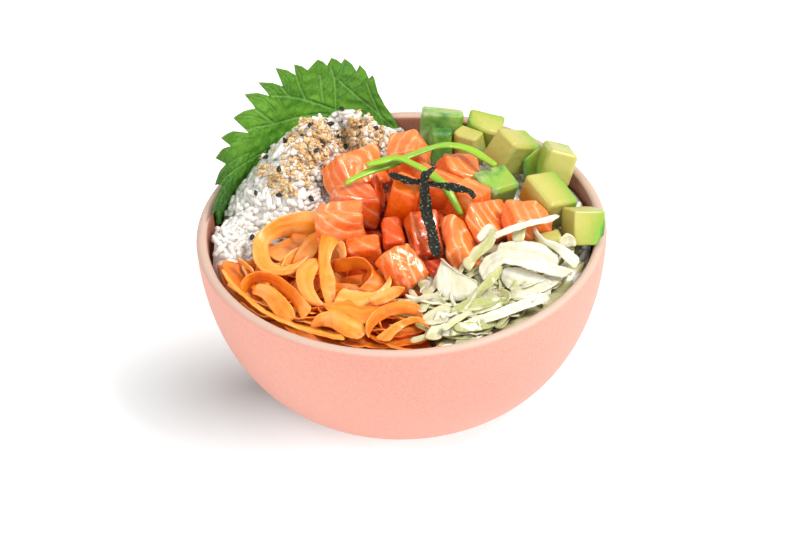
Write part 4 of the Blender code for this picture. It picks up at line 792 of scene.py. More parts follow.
RIBBONS = (
    ((-36, 3, 71, -46, 3, 71, -54, -3, 72, -60, -12, 73),
     (-36, -11, 70, -45, -13, 71, -50, -15, 72, -54, -18, 73)),
    ((-34, 8, 80, -43, 7.5, 81, -51.5, 3.5, 82, -58, -2, 82, -63.5, -7.5, 80, -65, -14, 78, -64, -23, 77, -59, -30, 76,
      -51, -30.5, 75, -42.5, -27, 75),
     (-34.5, 5.5, 70, -43.5, 3, 70, -49.5, 3.5, 70, -54, -1, 73, -57.5, -8.5, 76, -58, -14, 76, -56.5, -21, 76,
      -52, -27, 77, -44.5, -25, 78, -35.5, -17, 79)),
    ((-48.5, -19, 72, -44.5, -13.5, 77, -40, -9, 80, -34.5, -6.5, 81),
     (-45.5, -18, 71, -41.5, -18.5, 74, -38, -16.5, 76, -34.5, -12, 77)),
    ((-34.5, -15, 85, -36, -25, 84, -36, -34, 81, -35.5, -44, 78, -33.5, -51, 74),
     (-26.5, -20.5, 85, -29.5, -25.5, 84, -31, -31.5, 81, -29, -39, 78, -29.5, -50.5, 74)),
    ((-26.5, -21, 86, -24.5, -25.5, 86, -24, -31, 84),
     (-29.5, -21.5, 82, -27.5, -23.5, 81, -26.5, -28, 80)),
    ((-36.5, -26.5, 81, -43, -28.5, 80, -46, -35, 79, -45.5, -42, 77, -43, -48, 75, -39.5, -50.5, 73),
     (-35.5, -32.5, 81, -37, -35.5, 80, -38.5, -40.5, 79, -38, -44.5, 77, -35.5, -49.5, 75, -33.5, -51, 73)),
    ((-30, -27, 80, -24.5, -29, 82, -18, -30.5, 83, -13.5, -35.5, 82, -14.5, -41, 80, -20, -46, 77),
     (-29.5, -28.5, 74, -24.5, -29.5, 75, -17.5, -28.5, 75, -8.5, -35.5, 75, -7.5, -40.5, 75, -12.5, -45.5, 74)),
    ((-70.5, -39, 77, -67.5, -37, 80, -62, -36, 82, -55, -39, 82, -48.5, -44.5, 81, -43.5, -51, 79, -39, -56, 76),
     (-69, -40.5, 72, -66.5, -35.5, 73, -62.5, -33, 74, -57.5, -34, 74, -52, -41.5, 74, -47, -51.5, 74,
      -43.5, -60, 73)),
    ((-63, -42, 80, -58, -43, 80, -53, -47.5, 79, -48, -54.5, 77, -46, -60, 74),
     (-65.5, -43.5, 76, -60.5, -47.5, 76, -57.5, -52.5, 75, -54.5, -58, 74, -51, -61.5, 74)),
    ((-78.5, -29, 79, -75, -38, 78, -68.5, -48, 77.5, -60.5, -58.5, 77, -50.5, -67.5, 77, -40, -74.5, 77,
      -25.5, -80, 77),
     (-76.5, -30, 78, -72, -38, 77, -65.5, -48.5, 77, -58, -57.5, 76.5, -49, -64, 76, -39.5, -68.5, 75,
      -26.5, -74.5, 75)),
    ((-72, -20, 78, -68, -24, 78, -64.5, -29.5, 78),
     (-70.5, -20.5, 75, -67, -25, 75, -64, -29.5, 75)),
    ((-40.5, -65, 74, -37, -63, 78, -31, -63, 80, -25, -65, 79, -18.5, -68, 77, -16, -72.5, 75),
     (-40, -66, 73, -35, -66, 74, -31, -69, 75, -27, -73.5, 75, -23.5, -75.5, 74.5, -19.5, -76, 74)),
    ((-16.5, -74.5, 75, -16.5, -71, 79, -12.5, -65.5, 81, -6, -62, 82, 1, -61, 82, 6, -61.5, 80, 8, -65.5, 77),
     (-15.5, -76, 74, -14.5, -72, 75, -11.5, -68, 76, -6.5, -65, 77, -0.5, -63.5, 77, 4, -63.5, 76, 7, -65.5, 75)),
    ((-13.5, -76.5, 74.5, -9, -74.5, 77, -4, -72, 79, 1.5, -70, 80, 6.5, -69, 79, 11, -71, 76),
     (-7.5, -79.5, 74.5, -4, -76, 76, -0.5, -73, 77, 3, -70.5, 77, 6.5, -70, 76.5, 10.5, -73, 75)),
    ((-26.5, -47.5, 80, -20.5, -48.5, 79, -12.5, -50, 79, -7.5, -45, 80, -5, -39.5, 81),
     (-31, -54.5, 76, -24, -56.5, 76, -16, -56.5, 77, -8, -49.5, 78, -5, -46, 79)),
    ((-16, -57, 81, -10, -54, 82, -4, -52, 83, 0.5, -53, 83),
     (-12.5, -57.5, 77, -7, -56.5, 78, -2.5, -54, 79, 0.5, -52, 81)),
    ((-35, -54, 77, -25, -52.5, 77, -16.5, -53, 77, -7, -53, 77),
     (-32.5, -58.5, 76, -24, -62, 76, -17, -68, 76, -10.5, -60, 75)),
)


STRIP_THICKNESS, FINE_THICKNESS = 0.8, 0.7
WALL_GAP = 0.5
NEAR_WALL = 56.0
NEXT_TO_NOTHING = 1e-9


def distances(line):
    """How far along a line through points each point is."""
    return np.concatenate([[0.0], np.cumsum(np.linalg.norm(np.diff(line, axis=0), axis=1))])


def smooth_path(controls, count):
    """Points evenly along a smooth curve through the control points."""
    controls = np.array(controls, float)
    ends = np.concatenate([[2 * controls[0] - controls[1]], controls, [2 * controls[-1] - controls[-2]]])
    pieces = []
    for i in range(len(controls) - 1):
        a, b, c, d = ends[i:i + 4]
        t = np.linspace(0, 1, 24, endpoint=i == len(controls) - 2)[:, None]
        pieces.append(0.5 * (2 * b + (c - a) * t + (2 * a - 5 * b + 4 * c - d) * t ** 2
                             + (3 * b - a - 3 * c + d) * t ** 3))
    fine = np.concatenate(pieces)
    walked = distances(fine)
    share = np.linspace(0, walked[-1], count)
    return np.stack([np.interp(share, walked, fine[:, k]) for k in range(3)], axis=1)


def carried(first, second, thickness, sides=14, bow=0.0, seed=0.0):
    """A closed strip between two edge lines.

    Round the section, across = sgn(cos t) |cos t|^0.3 and up = sgn(sin t) |sin t|^0.7, bowed by bow (1 - across^2).
    """
    rows = len(first)
    middle, half = (first + second) / 2, (second - first) / 2
    along = np.gradient(middle, axis=0)
    flat = unit(np.cross(along, half), NEXT_TO_NOTHING)
    t = math.tau * (np.arange(sides) + 0.5) / sides
    across = np.sign(np.cos(t)) * np.abs(np.cos(t)) ** 0.3
    up = np.sign(np.sin(t)) * np.abs(np.sin(t)) ** 0.7
    share = np.linspace(-1, 1, rows)
    narrow = np.sqrt(np.clip(1.0 - np.abs(share) ** 80, 0.3, 1.0))[:, None]
    rise = thickness / 2 * up[None, :] * narrow ** 0.5 + bow * (1 - across[None, :] ** 2)
    points = middle[:, None] + half[:, None] * (across[None, :] * narrow)[..., None] + flat[:, None] * rise[..., None]
    points = np.concatenate([points.reshape(-1, 3), middle[:1] + flat[:1] * bow, middle[-1:] + flat[-1:] * bow])
    tris = barrel_tris(rows, sides)
    corner = points[tris]
    if np.einsum("ij,ij->i", corner[:, 0], np.cross(corner[:, 1], corner[:, 2])).sum() < 0:
        tris = tris[:, ::-1]
    walked = distances(middle)
    width = 2 * np.linalg.norm(half, axis=1)
    lay = np.stack(np.broadcast_arrays(walked[:, None], across[None, :] * width[:, None] / 2, seed), axis=-1)
    lay = np.concatenate([lay.reshape(-1, 3), [(0.0, 0.0, seed), (walked[-1], 0.0, seed)]])
    return points, tris, {"lay": lay}


def kept_in(points, margin):
    """Points moved inwards where they would reach into the bowl's wall."""
    radius = np.hypot(points[..., 0], points[..., 1])
    most = inner_radius(np.minimum(points[..., 2], RIM_TURN)) - margin
    share = np.minimum(1.0, most / radius)
    return points * np.stack([share, share, np.ones_like(share)], axis=-1)


def rippled(edges, thickness, size, seed, spacing=1.1, bow=0.0):
    """A strip between two lines that run through points, with edges that waver a little."""
    edges = [np.reshape(edge, (-1, 3)) for edge in edges]
    count = max(12, int(max(distances(edge)[-1] for edge in edges) / spacing))
    first, second = (smooth_path(edge, count) for edge in edges)
    dice = np.random.default_rng(seed)
    t = np.linspace(0, count * spacing, count)
    along = np.gradient((first + second) / 2, axis=0)
    flat = unit(np.cross(along, second - first), NEXT_TO_NOTHING)
    side = unit(second - first, NEXT_TO_NOTHING)
    lines = []
    for line in (first, second):
        wave = sum(np.sin(t * math.tau / length + dice.uniform(0, math.tau)) for length in (9.0, 5.2, 14.0)) / 2
        slip = sum(np.sin(t * math.tau / length + dice.uniform(0, math.tau)) for length in (7.0, 3.1)) / 2
        shifted = line + flat * (size * wave)[:, None] + side * (0.5 * size * slip)[:, None]
        lines.append(kept_in(shifted, WALL_GAP + 0.4))
    points, tris, values = carried(*lines, thickness, bow=bow, seed=dice.random())
    return kept_in(points, WALL_GAP), tris, values


def curls(count, draw, azimuths, radii, heights, widths, reaches, sweeps, leans, thickness, seed):
    """Strips that curl: arcs round random places, each measure drawn between its two limits.

    reaches are the arcs' radii, sweeps how far round they go and leans how far they tip, both in radians.
    """
    made = []
    for i in range(count):
        azimuth, out = math.radians(draw.uniform(*azimuths)), math.sqrt(draw.uniform(radii[0] ** 2, radii[1] ** 2))
        centre = polar(out, azimuth, draw.uniform(*heights))
        reach, sweep = draw.uniform(*reaches), draw.uniform(*sweeps) * draw.choice((-1, 1))
        facing = azimuth + draw.normal(0, 0.45) if out > NEAR_WALL else draw.uniform(0, math.tau)
        angle = facing + sweep * np.linspace(-0.5, 0.5, 7)
        ring = polar(1.0, angle, 0.0)
        lean = draw.uniform(*leans)
        width = draw.uniform(*widths)
        start = centre - reach * ring[3]
        path = start + reach * ring + np.outer(draw.normal(0, 1.5) * np.linspace(-1, 1, 7), (0, 0, 1.0))
        side = (ring * math.cos(lean) + np.array([0, 0, math.sin(lean)])) * width / 2
        made.append(rippled((path - side, path + side), thickness, size=0.35, seed=seed + i, spacing=1.6))
    return made


def streaks(tree, stretch, scale, detail):
    """Noise drawn out along a strip, and other on each strip."""
    lay = put(tree, "ShaderNodeVectorMath", {0: told(tree, "lay", "Vector"), 1: stretch}, operation="MULTIPLY")
    return put(tree, "ShaderNodeTexNoise", {"Vector": lay.outputs[0], "Scale": scale, "Detail": detail}).outputs[0]


def strip_finish(name, stops, tint, tint_amount, deep_and_painted_shade, roughness, scatter, coat):
    """Cut vegetable: colours run in streaks along the strip, each strip a little other, and painted darker low in the
    heap as painted shade.
    """
    finish, tree, shader = new_finish(name, roughness, scatter, subsurface_weight=0.35, coat_weight=coat,
                                      coat_roughness=0.2)
    streak = streaks(tree, (0.035, 0.22, 31.0), 1.6, 4.0)
    own = stretched(tree, axes_of(tree, told(tree, "lay", "Vector"))[2], 0.0, 1.0, -0.22, 0.22)
    mask, normal = relief(tree, 420.0, 0.0001, 3.0)
    colour = ramp(tree, sum_of(tree, "ADD", streak, own), stops)
    colour = mixed(tree, stretched(tree, mask, 0.5, 0.75, 0.0, tint_amount), colour, tint)
    # Painted shade: low in the heap the colour turns to the darker deep colour.
    height = axes_of(tree, place_of(tree))["Z"]
    colour = mixed(tree, stretched(tree, height, 0.067, 0.0755, 0.85, 0.0), colour, deep_and_painted_shade)
    finish_with(tree, shader, colour, normal, (mask, roughness - 0.08, roughness + 0.1))
    return finish


def bed_sheet(azimuths, radii, level, seed, rows=70, columns=46):
    """A lumpy sheet under a bundle of strips: rows by azimuth, columns by radius, thickness 3 mm."""
    angle, out = np.meshgrid(np.radians(np.linspace(*azimuths, rows)), np.linspace(*radii, columns), indexing="ij")
    flat = polar(out, angle, level).reshape(-1, 3)
    top = flat + (1.6 * waves(flat, 13.0, seed))[:, None] * (0, 0, 1)
    points = kept_in(np.concatenate([top - (0, 0, 3.0), top]), 0.6)
    return points, sheet_tris(rows, columns), {"lay": points * (1.0, 1.0, 0.01)}


def add_bundle(name, parts, finish, slot, node):
    """Strips, curls and their bed as one piece in place of a CAD node."""
    points, tris, values = gathered(parts)
    dress(add_piece(name, points, tris, finish, values), slot, node)


CARROT_FINISH = strip_finish("carrot_flesh", [(0.25, "E9700C"), (0.43, "F08A1C"), (0.56, "F09A38"), (0.75, "F5AE66")],
                             tint="F6B878", tint_amount=0.2, deep_and_painted_shade="CC560E", roughness=0.4,
                             scatter=(0.0040, 0.0016, 0.0004), coat=0.15)
draw = np.random.default_rng(5)
parts = [bed_sheet(azimuths=(189, 278), radii=(30, 82), level=68.5, seed=1)]
parts += curls(32, draw, azimuths=(196, 276), radii=(36, 70), heights=(67.5, 72.5), widths=(6.0, 9.5),
               reaches=(9.0, 16.0), sweeps=(2.6, 5.0), leans=(0.5, 1.4), thickness=STRIP_THICKNESS, seed=100)
parts += curls(10, draw, azimuths=(204, 272), radii=(66, 78), heights=(69.0, 72.0), widths=(6.0, 9.0),
               reaches=(24.0, 48.0), sweeps=(0.9, 1.6), leans=(0.2, 0.9), thickness=STRIP_THICKNESS, seed=200)
parts += [rippled(edges, STRIP_THICKNESS, size=0.22, seed=i, bow=0.15) for i, edges in enumerate(RIBBONS)]
add_bundle("pared_carrot", parts, CARROT_FINISH, "carrot_flesh", "carrot_ribbons")


# Cabbage shreds. White cabbage cut across the head into thin curling shreds, with a few broad leaf bits on top.
# The table gives the two edge lines of each piece that shows, as above; finer shreds lie under and between them.

SHREDS = (
    ((39, -21, 90, 36.5, -25.5, 87, 30, -29.5, 84, 25, -35, 81),
     (41.5, -25.5, 88, 38.5, -30, 85, 32.5, -34, 82, 28.5, -39.5, 79)),
    ((32, -23, 86, 36, -19.5, 89, 39, -19, 90),
     (33.5, -25, 84, 37.5, -24, 86, 41, -25, 88)),
    ((51, -17.5, 90, 47.5, -23.5, 86, 48.5, -26.5, 84),
     (54, -20.5, 89, 53, -25, 86, 50.5, -29, 83)),
    ((38, -24.5, 88, 47.5, -23, 91, 55.5, -21, 92, 62, -19.5, 92, 67, -17, 92),
     (39, -27.5, 87, 48.5, -26, 90, 56.5, -23.5, 91, 63, -22, 91, 69, -18, 91)),
    ((57.5, -20.5, 88, 61.5, -26.5, 86, 68, -28, 84, 74, -31.5, 81, 76.5, -33.5, 79),
     (56.5, -20.5, 86, 60.5, -26.5, 84, 66, -29.5, 81, 71, -34.5, 78, 74, -36.5, 76)),
    ((67, -28, 85, 71, -25, 87, 74.5, -24.5, 85),
     (69, -27.5, 81, 72.5, -26.5, 81, 75.5, -26.5, 81)),
    ((17, -33, 82, 14, -41.5, 80, 14.5, -49, 77, 18.5, -53, 74),
     (23.5, -44, 82, 29, -47.5, 81, 31.5, -51.5, 80, 28, -54.5, 76)),
    ((16, -33.5, 84, 21, -40.5, 83, 26, -45, 82, 32, -47, 80),
     (17.5, -36, 82, 22, -42, 81, 26.5, -45.5, 80, 31.5, -48.5, 79)),
    ((41.5, -42.5, 85, 36.5, -48, 84, 31.5, -52.5, 81, 26, -56.5, 78),
     (43, -42.5, 83, 39, -51, 82, 34, -53.5, 79, 28, -58.5, 76)),
    ((32, -38.5, 80, 37, -32.5, 83, 45.5, -33.5, 86, 54.5, -37, 86, 64, -40.5, 83, 75, -41.5, 79),
     (34.5, -45.5, 78, 41.5, -40.5, 83, 46.5, -41.5, 84, 54, -44, 83, 62, -44.5, 80, 69, -43.5, 77)),
    ((41.5, -26, 84, 52, -26, 85, 61.5, -29, 84, 67.5, -34, 80),
     (40, -32, 82, 50.5, -34, 83, 59.5, -36, 82, 65.5, -38.5, 79)),
    ((42.5, -39.5, 81, 50, -40, 81, 60.5, -43, 78, 63.5, -45, 76),
     (41.5, -42.5, 77, 45.5, -48.5, 76, 54, -48.5, 75, 62.5, -50, 72)),
    ((25.5, -68, 76, 36, -64.5, 77, 47, -60, 78, 58, -54.5, 78, 61.5, -53, 76),
     (30, -70, 74, 39.5, -67.5, 75, 49, -62.5, 75, 57.5, -58.5, 75, 62.5, -54, 74)),
    ((19.5, -73, 76, 26.5, -69.5, 77, 31.5, -68, 77),
     (18.5, -76.5, 73.5, 26.5, -73.5, 74, 32.5, -71.5, 74)),
    ((15, -75, 78, 21, -70, 79, 27.5, -65, 79),
     (16.5, -77, 77, 22, -72.5, 78, 29, -66.5, 78)),
    ((7.5, -78.5, 75, 11.5, -70.5, 77, 14, -64, 79),
     (14.5, -79, 74, 16.5, -71.5, 75, 20, -64, 77)),
    ((19, -63, 78, 27, -58, 79, 36.5, -57.5, 79, 43, -56.5, 78),
     (21, -66.5, 75, 28.5, -65.5, 76, 37, -62.5, 76, 44, -58, 75)),
    ((42, -52, 80, 45, -56.5, 80, 44.5, -60, 78),
     (40.5, -52, 78, 42.5, -55, 77, 42, -59.5, 76)),
    ((2.5, -58.5, 80, 8.5, -56, 81, 14, -55.5, 81, 17.5, -59.5, 80),
     (3, -58.5, 78, 8.5, -57, 79, 13.5, -56.5, 79, 16.5, -59, 77)),
    ((6.5, -66.5, 77, 11.5, -62.5, 78, 18.5, -59, 78),
     (10.5, -71, 74, 15, -67, 76, 21.5, -63.5, 76)),
)

CABBAGE_FINISH = strip_finish("cabbage_shred", [(0.25, "AAAD6C"), (0.42, "C2BD92"), (0.6, "D0CAB0"), (0.8, "E4E0D0")],
                              tint="AEBC6C", tint_amount=0.35, deep_and_painted_shade="A8A56F", roughness=0.27,
                              scatter=(0.0030, 0.0028, 0.0018), coat=0.18)
parts = [bed_sheet(azimuths=(280, 345), radii=(22, 82), level=68.0, seed=2)]
parts += curls(120, draw, azimuths=(281, 343), radii=(30, 78), heights=(69.5, 76.0), widths=(2.0, 5.0),
               reaches=(14.0, 40.0), sweeps=(0.6, 1.6), leans=(-0.9, 0.9), thickness=FINE_THICKNESS, seed=300)
parts += curls(34, draw, azimuths=(284, 340), radii=(32, 70), heights=(75.0, 78.0), widths=(1.3, 2.6),
               reaches=(16.0, 44.0), sweeps=(0.6, 1.4), leans=(-0.3, 0.3), thickness=FINE_THICKNESS, seed=500)
parts += [rippled(edges, STRIP_THICKNESS, size=0.3, seed=40 + i, bow=0.25) for i, edges in enumerate(SHREDS)]
add_bundle("shredded_cabbage", parts, CABBAGE_FINISH, "cabbage_shred", "cabbage_shreds")


# Shiso leaf. One fresh leaf standing against the wall at the back left, with a toothed margin, sunken veins and
# puckered flesh between them. Its places are given by azimuth in degrees and height in millimetres.

LEAF_SMOOTH_EDGE = ((87.0, 66.0), (89.4, 71.0), (91.4, 77.6), (93.4, 82.5), (95.4, 90.0))
LEAF_TEETH = ((96.8, 99.8), (98.0, 98.2), (100.5, 105.5), (101.6, 102.4), (104.8, 109.2), (105.9, 107.0),
              (108.8, 110.8), (110.3, 107.3), (113.2, 112.1), (116.8, 108.4), (121.4, 114.5), (121.2, 108.7),
              (127.7, 116.2), (126.1, 105.9), (134.2, 112.8), (131.2, 104.2), (139.9, 110.9), (136.9, 101.7),
              (146.3, 104.1), (141.2, 92.2), (155.4, 102.4), (149.2, 92.0), (161.9, 98.2), (153.3, 86.6),
              (165.5, 87.4), (158.4, 80.5), (174.0, 79.0))
LEAF_LOWER_MARGIN = ((86.0, 64.5), (96.0, 60.0), (130.0, 57.0), (160.0, 62.0), (175.0, 74.0))
LEAF_THICKNESS = 0.7
LEAF_ROWS = 84
MM_PER_DEGREE = 1.45
LEAF_VEINS = (((91.5, 71.7), (99.3, 85.1), (103.5, 92.5), (106.9, 98.6)),
              ((100.0, 80.0), (106.2, 82.3), (115.6, 90.8), (125.8, 100.6), (130.8, 103.9)),
              ((112.0, 84.0), (124.5, 86.8), (130.8, 89.3), (138.0, 93.0), (146.0, 95.0)),
              ((112.8, 91.0), (112.8, 103.5)), ((109.2, 84.5), (108.5, 99.2), (109.0, 105.0)),
              ((93.8, 71.9), (97.3, 87.8), (98.8, 96.0)), ((118.0, 92.5), (120.5, 104.0), (121.3, 110.0)),
              ((124.0, 99.0), (127.0, 106.0), (128.0, 112.0)), ((131.0, 89.5), (136.0, 99.0), (140.0, 106.0)),
              ((141.0, 93.5), (148.0, 92.0), (156.0, 93.0)),
              ((120.0, 76.0), (140.0, 79.0), (158.0, 82.0), (168.0, 82.0)))


def leaf_place(azimuth, height):
    """A point of the leaf's inner face, which follows the wall and, above the rim, leans out a little."""
    above = np.maximum(height - BOWL_HEIGHT, 0.0)
    fold = np.sin(np.radians(azimuth) * 11.0 + height / 9.0) * np.clip(above / 12.0, 0.0, 1.0)
    radius = inner_radius(np.minimum(height, RIM_TURN)) - 0.4 - LEAF_THICKNESS - 0.5 + 0.1 * above + fold
    return polar(radius, np.radians(azimuth), height)


def leaf_margin():
    """The toothed margin and the line of its notches, at the same places along the leaf."""
    margin, line = [*LEAF_SMOOTH_EDGE], [(azimuth, height - 2.0) for azimuth, height in LEAF_SMOOTH_EDGE]
    notch = (LEAF_TEETH[0][0] - 0.6, 95.0)
    for point, following in zip(LEAF_TEETH[::2], [*LEAF_TEETH[1::2], (172.0, 77.0)]):
        size = np.hypot(point[0] - notch[0], point[1] - notch[1])
        middle = (np.array(notch) + point) / 2 + (-0.05 * size, 0.05 * size)
        margin += [tuple(middle), point, following]
        for share in (0.33, 0.67, 1.0):
            line.append(tuple(np.array(notch) + (np.array(following) - notch) * share - (0, 2.0)))
        notch = following
    return np.array(margin[:-1]), np.array(line[:-1])


def finer(line, steps):
    """More points along each stretch of a line."""
    share = np.linspace(0, len(line) - 1, (len(line) - 1) * steps + 1)
    return np.stack([np.interp(share, np.arange(len(line)), line[:, k]) for k in range(line.shape[1])], axis=1)


def away_from(lines, azimuth, height):
    """Distance in millimetres from the nearest of some lines over the leaf, and how far along it that is."""
    spot = np.stack([azimuth * MM_PER_DEGREE, height], axis=-1)
    nearest, share = np.full(azimuth.shape, 99.0), np.zeros(azimuth.shape)
    for line in lines:
        ends = np.array(line) * (MM_PER_DEGREE, 1.0)
        for i in range(len(ends) - 1):
            way = ends[i + 1] - ends[i]
            t = np.clip(((spot - ends[i]) @ way) / (way @ way), 0, 1)
            far = np.linalg.norm(spot - ends[i] - t[..., None] * way, axis=-1)
            share = np.where(far < nearest, (i + t) / (len(ends) - 1), share)
            nearest = np.minimum(far, nearest)
    return nearest, share


def leaf_finish():
    """Fresh green, with painted shade below the left side and beside the veins, paler veins, a fine net between them
    and brownish tips.
    """
    finish, tree, shader = new_finish("shiso_green", 0.5, (0.0010, 0.0016, 0.0004), subsurface_weight=0.12)
    mask, normal = relief(tree, 700.0, 0.0002, 3.0)
    broad, _ = relief(tree, 60.0, 0.0002, 2.0)
    net = put(tree, "ShaderNodeTexVoronoi", {"Vector": place_of(tree), "Scale": 420.0}, feature="DISTANCE_TO_EDGE")
    lines = stretched(tree, net.outputs["Distance"], 0.12, 0.02)
    green = ramp(tree, broad, [(0.3, "407A14"), (0.5, "518819"), (0.7, "639A24")])
    green = mixed(tree, told(tree, "shade"), green, "184810")
    green = mixed(tree, sum_of(tree, "MULTIPLY", lines, 0.25), green, "78B048")
    green = mixed(tree, told(tree, "vein"), green, "86B858")
    colour = mixed(tree, told(tree, "tip"), green, "5B4630")
    finish_with(tree, shader, colour, normal, (mask, 0.42, 0.6))
    return finish


def make_leaf():
    """Both faces of the leaf as one closed sheet: rows from the hidden lower margin to the teeth."""
    margin, line = (finer(edge, 6) for edge in leaf_margin())
    lower = np.minimum(np.interp(line[:, 0], *zip(*LEAF_LOWER_MARGIN)), line[:, 1] - 0.6)
    share = np.linspace(0, 1, LEAF_ROWS)[:, None]
    body = np.minimum(share / 0.9, 1.0)
    edge = np.clip((share - 0.9) / 0.1, 0.0, 1.0)
    azimuth = line[None, :, 0] + (margin[None, :, 0] - line[None, :, 0]) * edge
    height = lower[None, :] + (line[None, :, 1] - lower[None, :]) * body
    height = height + (margin[None, :, 1] - line[None, :, 1]) * edge
    tips = np.array(LEAF_TEETH[::2])
    small = np.stack([tips + 0.5 * ((120.0, 80.0) - tips), tips + 0.22 * ((112.0, 80.0) - tips), tips], axis=1)
    far, _ = away_from(LEAF_VEINS, azimuth, height)
    far = np.minimum(far, away_from(small, azimuth, height)[0] * 1.4 + 0.1)
    inner = leaf_place(azimuth, height)
    outward = unit(inner * (1, 1, 0))
    puckered = 0.6 * waves(inner.reshape(-1, 3), 6.5, 9, 7).reshape(azimuth.shape) * np.clip(far / 2.0, 0, 1)
    sunk = 0.5 * np.exp(-(far / 0.6) ** 2) - 0.25 + puckered
    inner = inner + outward * np.clip(sunk, -0.9, 0.35)[..., None] * np.clip(6 * (1 - share), 0, 1)[..., None]
    outer = inner + outward * (LEAF_THICKNESS * np.clip(0.25 + 5 * (1 - share), 0, 1))[..., None]
    points = np.concatenate([inner.reshape(-1, 3), outer.reshape(-1, 3)])
    vein = 0.6 * np.exp(-(far / 0.3) ** 2)
    # Painted shade: darker bands beside the veins, and the left side darker towards its foot.
    crease_shade = 0.5 * np.exp(-((far - 0.9) / 0.5) ** 2)
    shade = np.clip((azimuth - 138) / 22, 0, 1) * 0.85 * np.clip((106 - height) / 22, 0.2, 1)
    shade = np.maximum(shade, crease_shade)
    tip = np.clip(1.5 * (edge * np.ones_like(azimuth)) - 0.9, 0, 1) * 0.55
    values = {"vein": np.tile(vein.ravel(), 2), "shade": np.tile(shade.ravel(), 2), "tip": np.tile(tip.ravel(), 2)}
    leaf = add_piece("shiso_blade", points, sheet_tris(*azimuth.shape), leaf_finish(), values)
    dress(leaf, "shiso_green", "shiso_leaf")


make_leaf()


# Scallion strips. Two lengths of green scallion leaf, slit open, laid across the salmon. Each is a shallow gutter in
# section. The table gives their middle lines; their height is that of the CAD solids' tops.

SCALLIONS = (
    ((-23.5, 5, 93), (-12.5, 13.5, 96), (-3.5, 17.5, 97), (6, 24, 96), (18.5, 29.5, 94), (31, 29, 92),
     (43, 19, 91)),
    ((-14, 12.5, 93), (-7.5, 14.5, 95), (-0.5, 16.5, 95), (9, 12.5, 94), (17.5, 6, 92), (26.5, -5, 88)),
)
SCALLION_WIDTH, SCALLION_ROWS = 4.2, 90


def over_solid(name, line, count, sink):
    """A middle line at the height of a CAD node's top, smoothed, a little below that top."""
    tree = tree_of(*triangles_of(name))
    path = smooth_path(line, count)
    hits = [tree.ray_cast(Vector((x, y, CAST_FROM)), Vector((0, 0, -1)))[0] for x, y, _ in path]
    known = np.array([i for i, hit in enumerate(hits) if hit is not None])
    path[:, 2] = np.interp(np.arange(count), known, [hits[i].z for i in known]) - sink
    for _ in range(6):
        path[1:-1, 2] = (path[:-2, 2] + 2 * path[1:-1, 2] + path[2:, 2]) / 4
    return path


def sides_of(path, width, roll):
    """The two edge lines of a strip round its middle line, rolled about it by an angle at each point."""
    along = np.gradient(path, axis=0)
    across = unit(np.cross(along, (0, 0, 1.0)))
    upward = unit(np.cross(across, along))
    side = across * np.cos(roll)[:, None] + upward * np.sin(roll)[:, None]
    return path - side * width[:, None] / 2, path + side * width[:, None] / 2


def scallion_finish():
    """Waxy green with fine lengthwise lines, paler inside the gutter and darker at its edges."""
    finish, tree, shader = new_finish("scallion_green", 0.34, (0.0012, 0.0016, 0.0004), subsurface_weight=0.15,
                                      coat_weight=0.2, coat_roughness=0.2)
    streak = streaks(tree, (0.04, 3.0, 17.0), 1.5, 3.0)
    mask, normal = relief(tree, 500.0, 0.0002, 2.0)
    colour = ramp(tree, streak, [(0.3, "6F9F1C"), (0.5, "8DB824"), (0.72, "AACB3E")])
    side = sum_of(tree, "ABSOLUTE", axes_of(tree, told(tree, "lay", "Vector"))[1], 0.0)
    colour = mixed(tree, stretched(tree, side, 1.4, 2.1, 0.0, 0.7), colour, "4E7F16")
    finish_with(tree, shader, colour, normal, (mask, 0.28, 0.42))
    return finish


SCALLION_FINISH = scallion_finish()
for number, line in enumerate(SCALLIONS, 1):
    path = over_solid(f"scallion_strip_{number}", line, SCALLION_ROWS, 0.95)
    share = np.linspace(-1, 1, SCALLION_ROWS)
    width = SCALLION_WIDTH * (1 - 0.45 * np.abs(share) ** 5) + 0.25 * np.sin(share * 19 + number)
    first, second = sides_of(path, width, 0.18 * np.sin(share * 5 + number))
    points, tris, values = carried(first, second, 0.9, sides=20, bow=-0.75, seed=number * 0.37)
    strip = add_piece(f"scallion_{number}", points + (0, 0, 0.55), tris, SCALLION_FINISH, values)
    dress(strip, "scallion_green", f"scallion_strip_{number}")


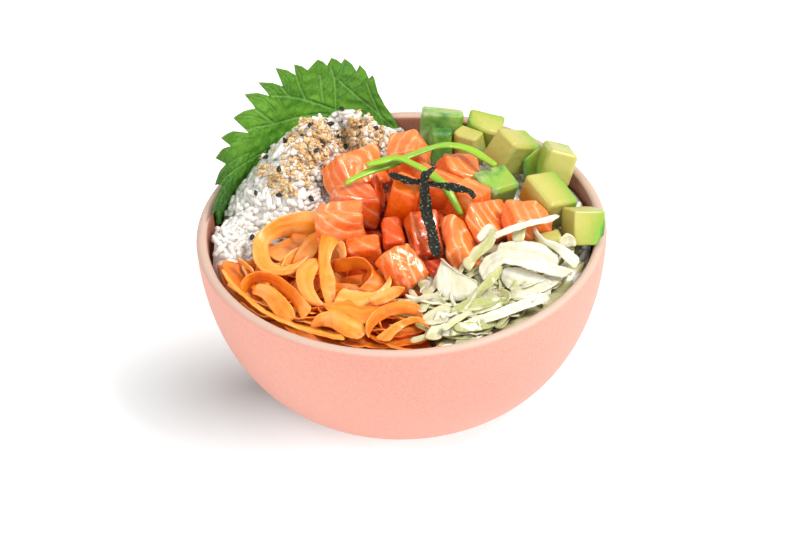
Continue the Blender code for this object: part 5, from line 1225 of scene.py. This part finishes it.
# Nori strips. Two strips torn from a sheet of dried seaweed, thin, crinkled and ragged at the edges, laid crossed
# over the salmon and the scallion. The table gives their middle lines.

NORI = (
    ((-4, 1.5, 99), (2.5, -1.5, 99), (9.5, -2, 98), (17.5, -3.5, 95), (26.5, -5, 93), (32.5, -8.5, 92)),
    ((15.5, 9.5, 96), (11.5, -2, 100), (11, -13.5, 96), (12.5, -22, 92), (14.5, -34.5, 90)),
)
NORI_WIDTH, NORI_ROWS = 4.5, 150


def nori_finish():
    """Near-black green with a pale dry sheen and lighter specks where the sheet is thin."""
    finish, tree, shader = new_finish("nori_sheet", 0.4, specular_ior_level=0.25)
    mask, normal = relief(tree, 800.0, 0.0008, 5.0)
    broad, _ = relief(tree, 240.0, 0.0003, 4.0)
    colour = ramp(tree, mask, [(0.38, "050603"), (0.54, "14160B"), (0.66, "30361E")])
    colour = mixed(tree, stretched(tree, mask, 0.6, 0.66, 0.0, 0.65), colour, "A4AA80")
    finish_with(tree, shader, colour, normal, (broad, 0.4, 0.6))
    return finish


NORI_FINISH = nori_finish()
for number, line in enumerate(NORI, 1):
    path = over_solid(f"nori_strip_{number}", line, NORI_ROWS, 0.3)
    share = np.linspace(-1, 1, NORI_ROWS)
    dice = np.random.default_rng(70 + number)
    ragged = 0.25 * np.cumsum(dice.normal(0, 1, (2, NORI_ROWS)), axis=1)
    ragged = ragged - ragged.mean(axis=1)[:, None]
    ragged = np.clip(ragged / 2.6, -0.6, 0.6) + dice.normal(0, 0.14, (2, NORI_ROWS))
    width = NORI_WIDTH * (1 - 0.15 * np.abs(share) ** 6)
    first, second = sides_of(path, width, 0.25 * np.sin(share * 6 + number * 2))
    side = (second - first) / width[:, None]
    first, second = first + side * ragged[:1].T, second + side * ragged[1:].T
    points, tris, values = carried(first, second, 0.35, sides=22, bow=0.35, seed=number * 0.41)
    crinkle = 0.3 * waves(points, 3.0, 80 + number, 7)
    points = points + (0, 0, 0.25) + crinkle[:, None] * (0, 0, 1)
    strip = add_piece(f"nori_{number}", points, tris, NORI_FINISH, values)
    dress(strip, "nori_sheet", f"nori_strip_{number}")
